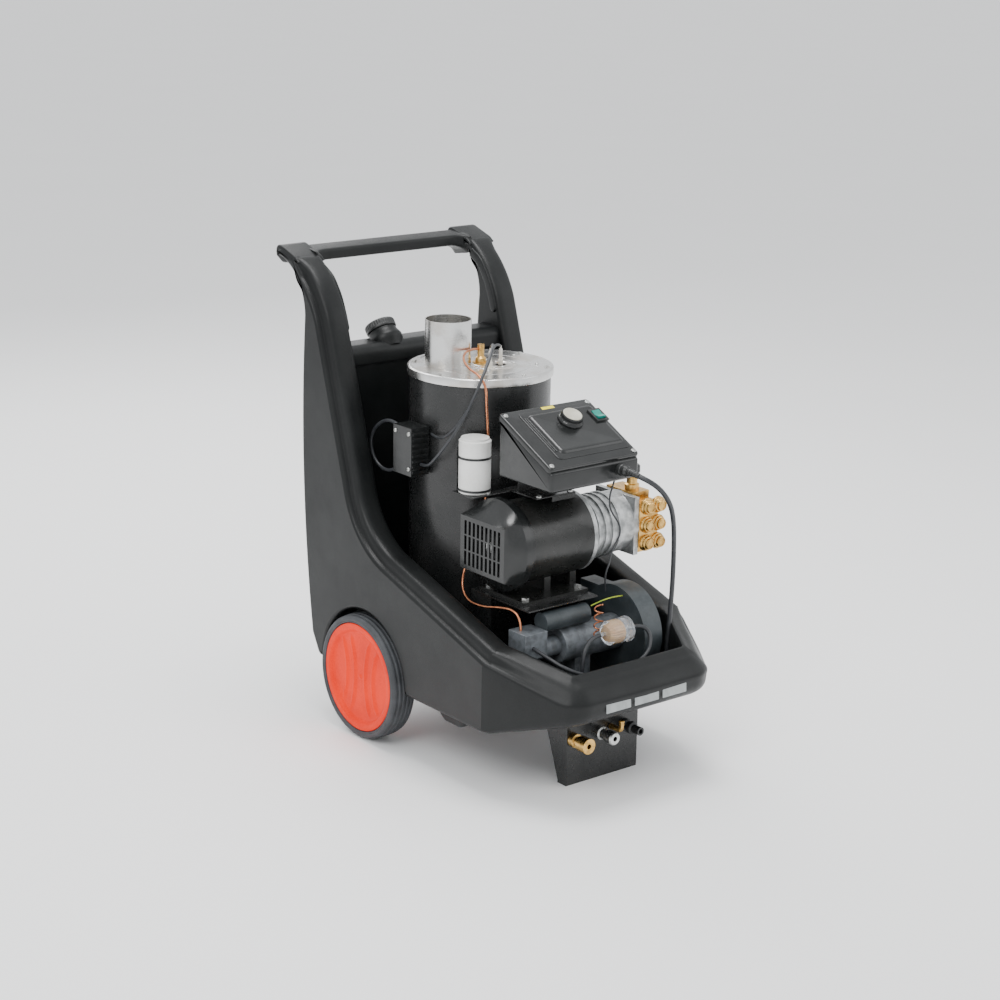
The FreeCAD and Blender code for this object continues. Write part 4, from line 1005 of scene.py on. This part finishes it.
softNodes = {
    "connector_bracket": ("blackSheet", 1.2, "black_sheet"), "motor_deck": ("blackSheet", 0.8, "black_sheet"),
    "box_bracket": ("blackSheet", 0.8, "black_sheet"), "crankcase": ("castAluminium", 1.6, "cast_aluminium"),
    "pump_head": ("brass", 1.8, "brass"), "ignition_transformer": ("glossMoulding", 1.6, "black_plastic"),
    "burner_motor": ("greyCasting", 2.0, "grey_casting"), "fuel_pump": ("greyCasting", 2.0, "grey_casting"),
    "blower_housing": ("darkEnamel", 1.5, "dark_enamel"),
}
for name, (finish, width, slot) in softNodes.items():
    softened(name, finish, width)
print("carried-over nodes")


# boiler lid: a thin rolled rim, a bolted plate and its bolts

lidSizes = dict(middle=(0, 83), rim=148, top=758, foot=742, plate=(20, 74), plateBolts=6, boltRing=47,
                freeBolts=((-35, 139), (-25, 25), (5, -50), (96, 20), (110, 110)))


# the lid and its plates are profiles of radius against height, turned about their own middles
def makeLid():
    s = lidSizes
    middle = at(*s["middle"], 0)
    lid = turned(softProfile([(0, s["top"]), (96, s["top"]), (99, 757.2), (102, s["top"]), (139, s["top"]),
                              (144, 758.8), (s["rim"], 757), (s["rim"], s["foot"]), (146, 741),
                              (144.2, s["foot"]), (144.2, 753.5)], 1.2), middle, 144)
    give(meshPiece("boiler_lid_disc", *insideOut(lid)), "lidSteel", "machine", ("boiler_lid",))
    plates = []
    for profile, (x, y), steps in (
            ([(0, 761), (40, 761), (42, 760), (52, 760), (54, 759), (54, 757.5)], s["plate"], 96),
            ([(0, 764), (10, 764), (11, 763), (17, 763), (18, 762), (18, 757.5)], (45, 64), 64),
            ([(0, 763), (13, 763), (14, 762), (14, 757.5)], (30, 108), 64)):
        plates.append(insideOut(turned(softProfile(profile, 0.8), at(x, y, 0), steps)))
    give(meshPiece("lid_plates", *joined(*plates)), "lidSteel")
    heads = []
    ring = s["boltRing"]
    px, py = s["plate"]
    for k in range(s["plateBolts"]):
        turn = math.radians(20 + 60 * k)
        heads.append(screwHead(at(px + ring * math.cos(turn), py + ring * math.sin(turn), 760), 3.6, 3.2))
    for x, y in s["freeBolts"]:
        heads.append(screwHead(at(x, y, s["top"]), 4.2, 2.6))
    give(meshPiece("lid_plate_bolts", *joined(*heads)), "zincSteel")


# a round-headed screw: radius r, height h, with a round recess
def screwHead(place, r, h):
    dome = [(r, -1), (r, 0.3 * h), (0.92 * r, 0.62 * h), (0.74 * r, 0.88 * h), (0.5 * r, h), (0.46 * r, h),
            (0.42 * r, 0.5 * h), (0, 0.5 * h)]
    return turned(dome, place, 24)


makeLid()


# control box

boxSizes = dict(front=-289, rear=-129, low=588, frontTop=636, rise=79, left=-121, right=101, knob=(10, 117))
boxTilt = Matrix.Rotation(math.atan2(boxSizes["rise"], boxSizes["rear"] - boxSizes["front"]), 4, "X")
# its y runs up the slope of the lid and its z stands off it
lidPlane = at(0, boxSizes["front"], boxSizes["frontTop"], boxTilt)


# a point on the lid's slope
def onLid(x, along, above):
    return tuple(lidPlane @ Vector((x, along, above)))


# the case is its side outline carried across; the lid, its step and its bars are outlines raised off
# the slope
def makeControlBox():
    s = boxSizes
    side = [(s["front"], s["low"]), (s["rear"], s["low"]), (s["rear"], 705), (s["front"], 627)]
    case = slab(rounded(side, [9, 9, 4, 4], 5), s["left"], s["right"], 7, "x", 5)
    lip = slab(rounded(rectangle(-122.5, 0.5, 102.5, 178), 9, 6), -13, 0, 3.4, "z", place=lidPlane)
    step = slab(rounded(rectangle(-86, 22, 98, 166), 12, 6), -3, 1.8, 1.8, "z", place=lidPlane)
    give(meshPiece("control_box_case", *case), "glossMoulding", "machine",
         ("control_box_base",))
    give(meshPiece("control_box_cover", *joined(lip, step)), "glossMoulding", "machine",
         ("control_box_lid",))
    # the raised platform: its sides lean in and its top is a little hollow
    share = np.array([0, 0.12, 0.3, 0.6, 0.8, 0.92, 1.0, 1.0, 0.98])
    inset = np.array([0, 0.6, 1.6, 4.6, 7.2, 9.4, 12.4, 15, 17])
    outline = rounded(rectangle(-72, 34, 92, 156), 14, 8)
    outline = withoutDoubles(outline)
    normal = inwards(outline)
    rings = outline[None] + normal[None] * inset[:, None, None] * 0.62
    level = np.broadcast_to((0.8 + 5.2 * share)[:, None, None], rings.shape[:2] + (1,))
    points = np.concatenate([rings, level], axis=2).reshape(-1, 3)
    n, m = rings.shape[:2]
    faces = gridFaces(n, m, closeColumns=True).tolist() + [list(range((n - 1) * m, n * m))]
    points = moved(points, lidPlane)
    give(meshPiece("control_box_platform", points, faces), "glossMoulding")
    bars = [slab(rounded(rectangle(x, 44, x + 3, 148), 1.4, 3), 0.6, 3.4, 1.2, "z",
                 place=lidPlane) for x in (-82, -77)]
    give(meshPiece("control_box_bars", *joined(*bars)), "glossMoulding")
    switch = roundBlock((101, -191, 606), (124.5, -151, 652), 3.5)
    give(meshPiece("pressure_switch_case", *switch), "satinMoulding")
    sticker = slab(rounded(rectangle(-21, 159, 10, 174), 1, 3), -0.1, 0.35, 0.15, "z", place=lidPlane)
    give(meshPiece("blank_sticker", *sticker), "stickerYellow")
    # the knob: a dark skirt with shallow flutes and a pale cap
    place = Matrix.Translation(onLid(*s["knob"], 6.3)) @ boxTilt
    height = np.array([0.2, 0.3, 2.6, 4.6, 6.2, 7.4, 9.0, 12.6, 14.6, 15.8, 16.0, 15.4])
    base = np.array([5.0, 25.8, 25.8, 24.8, 23.4, 22.6, 22.2, 22.0, 21.6, 20.6, 19.6, 19.2])
    flute = np.array([0, 0, 0, 0, 0.3, 0.8, 1, 1, 0.8, 0.2, 0, 0])
    angle = np.linspace(0, 2 * math.pi, 192, endpoint=False)
    radius = base[:, None] - flute[:, None] * 0.5 * (1 - np.cos(32 * angle))[None] * 0.9
    skirt = moved(fluted(height, radius, angle), place)
    give(meshPiece("knob_skirt", skirt, gridFaces(len(height), 192, closeColumns=True)), "glossMoulding",
         "knob", ("thermostat_knob",))
    cap = turned([(19.3, 15.2), (19.2, 16.2), (18.4, 17.0), (17.4, 17.0), (16.8, 16.6), (0, 16.5)], place, 96)
    pointer = slab(rounded(rectangle(-1, 9, 1, 16), 0.8, 3), 16.4, 16.9, 0.2, "z", place=place)
    give(meshPiece("knob_cap", *joined(cap, pointer)), "knobIvory", "knob")


makeControlBox()
print("lid and control box")


# small parts: labels, screws, filter element, clips

labelSizes = dict(places=(-70, 2, 74), halfWide=31, halfTall=11, thick=0.6, front=-441.4, height=202, lean=86)
filterSizes = dict(start=-16, front=-335, height=303, radius=15.2, pleats=20, pleatDepth=0.9)


# labels are thin raised outlines; the filter's paper is a cylinder whose radius falls by a cosine at each
# pleat; the cable's sleeve narrows along its path, with a cosine of ribs
def makeSmallParts():
    s, f = labelSizes, filterSizes
    plates = []
    lean = Matrix.Rotation(math.radians(s["lean"]), 4, "X")
    outline = rounded(rectangle(-s["halfWide"], -s["halfTall"], s["halfWide"], s["halfTall"]), 1.5, 3)
    for x in s["places"]:
        label = slab(outline, 0, s["thick"], 0.25, "z", place=at(x, s["front"], s["height"], lean))
        plates.append(label)
    give(meshPiece("blank_labels", *joined(*plates)), "labelGrey")
    heads = [screwHead(at(-190.2, y, z, againstX), 4.6, 3.4) for y, z in ((68, 642), (68, 570), (112, 642))]
    heads += [screwHead(at(x, y, z), 5.6, 4.6) for x, y, z in ((-108, -82, 541), (-50, -168, 544),
                                                               (30, -168, 544),
                                                           (-122, -30, 541))]
    give(meshPiece("bright_screws", *joined(*heads)), "zincSteel")
    angle = np.linspace(0, 2 * math.pi, 160, endpoint=False)
    along = np.array([4, 4.4, 6, 20, 38, 39.6, 40])
    radius = np.array([2, 14, f["radius"], f["radius"], f["radius"], 14, 2])
    wave = f["pleatDepth"] * (1 - np.cos(f["pleats"] * angle))
    pleat = radius[:, None] - (radius > 14.5)[:, None] * wave[None]
    points = np.stack([f["start"] + np.broadcast_to(along[:, None], pleat.shape),
                       f["front"] + pleat * np.cos(angle),
                       f["height"] + pleat * np.sin(angle)], axis=2).reshape(-1, 3)
    give(meshPiece("filter_element", points, gridFaces(7, 160, closeColumns=True)), "amberPaper")
    # the sleeve that supports the cable where it leaves the gland
    spine = resample(np.array([(52, -306, 612), (52.3, -314, 611.8), (53.3, -323, 611), (54.5, -331.5, 609.6),
                               (56.6, -338.5, 607.4)], float), 1.6)
    share = np.linspace(0, 1, len(spine))
    ribs = 0.45 * np.cos(2 * math.pi * share * 6) * (share > 0.2) * (share < 0.96)
    give(meshPiece("cable_sleeve", *rodAlong(spine, 8.2 - 2.4 * share + ribs, 32)), "satinMoulding")
    circle = np.linspace(0, 2 * math.pi, 12, endpoint=False)
    tie = turned(np.stack([5.0 + 1.1 * np.cos(circle), 1.6 * np.sin(circle)], axis=1),
                 at(-22, -375.3, 238.3, alongX), 40, closed=True)
    give(meshPiece("hose_tie", *tie), "whitePlastic")
    # a small brass elbow beside the outlet
    bend = np.linspace(0, math.pi / 2, 10)
    elbow = np.stack([19 + 0 * bend, -345 - 9 * np.sin(bend), 101 + 9 * (1 - np.cos(bend))], axis=1)
    elbow = np.concatenate([[(19, -323, 101)], elbow, [(19, -354, 122)]])
    sizes = np.concatenate([[6], np.linspace(5.6, 5.2, 10), [5.8]])
    give(meshPiece("vent_elbow", *rodAlong(elbow, sizes, 24)), "brass")


makeSmallParts()


def makePumpCaps():  # round plugs on the pump head's front
    plug = softProfile([(17, -2), (17, 3), (14, 5), (14, 9), (11, 10.5), (11, 15), (8, 16.5), (8, 14),
                        (0, 14)], 1)
    parts = [turned(plug, at(x, -206, z, towardsFront), 40) for x in (203, 233) for z in (417, 455, 493)]
    give(meshPiece("pump_head_plugs", *joined(*parts)), "brass")


makePumpCaps()


def quadraticLength(points):  # length of the quadratic spline through the middles of the polygon's sides
    points = np.asarray(points, float)
    joints = (points[1:] + points[:-1]) / 2
    joints[0], joints[-1] = points[0], points[-1]
    t = np.linspace(0, 1, 25)[:, None, None]
    arc = quadratic(joints[:-1], points[1:-1], joints[1:], t)
    return np.linalg.norm(np.diff(arc, axis=0), axis=2).sum()


# thin wires and a capillary: points and diameter in millimetres
wires = {
    "gland_wire": dict(
        points=[(60, -270, 597), (54, -268, 576), (47, -266, 552), (50, -265, 528), (64, -265, 508),
                (78, -265, 490), (80, -265, 470), (68, -265, 454), (58, -264, 436), (56, -262, 414),
                (50, -258, 394), (56, -252, 372), (62, -246, 352)],
        diameter=3.6, finish="cableRubber", stiffness="limp"),
    "second_lead": dict(
        points=[(-146, 52, 640), (-150, 28, 636), (-152, -4, 646), (-146, -34, 676), (-132, -54, 716),
                (-112, -56, 752), (-86, -40, 780), (-56, -14, 796), (-24, 14, 806), (4, 34, 808),
                (20, 46, 800)],
        diameter=5, finish="cableRubber", stiffness="medium"),
    "earth_wire": dict(
        points=[(6, -268, 338), (20, -276, 346), (42, -280, 350), (66, -276, 348), (90, -266, 342)],
        diameter=2.6, finish="earthGreen", stiffness="limp"),
}
for name, facts in wires.items():
    piece = splinePiece(name, facts["points"], facts["diameter"], facts["finish"], ())
    tuple(v * mm for v in facts["points"][0])
    float(quadraticLength(facts["points"])) * mm
    facts["diameter"] * mm

# a helix: x and y go round an oval while z falls evenly
coilSizes = dict(turns=3.6, middle=(4, -294), reach=(9.5, 7.5), top=346, drop=62, radius=1.5)
turn = np.linspace(0, 2 * math.pi * coilSizes["turns"], 150)
helix = np.stack([coilSizes["middle"][0] + coilSizes["reach"][0] * np.cos(turn),
                  coilSizes["middle"][1] + coilSizes["reach"][1] * np.sin(turn),
                  coilSizes["top"] - coilSizes["drop"] * turn / turn[-1]], axis=1)
give(meshPiece("capillary_coil", *rodAlong(helix, coilSizes["radius"], 10)), "copper")
print("small parts and wires")
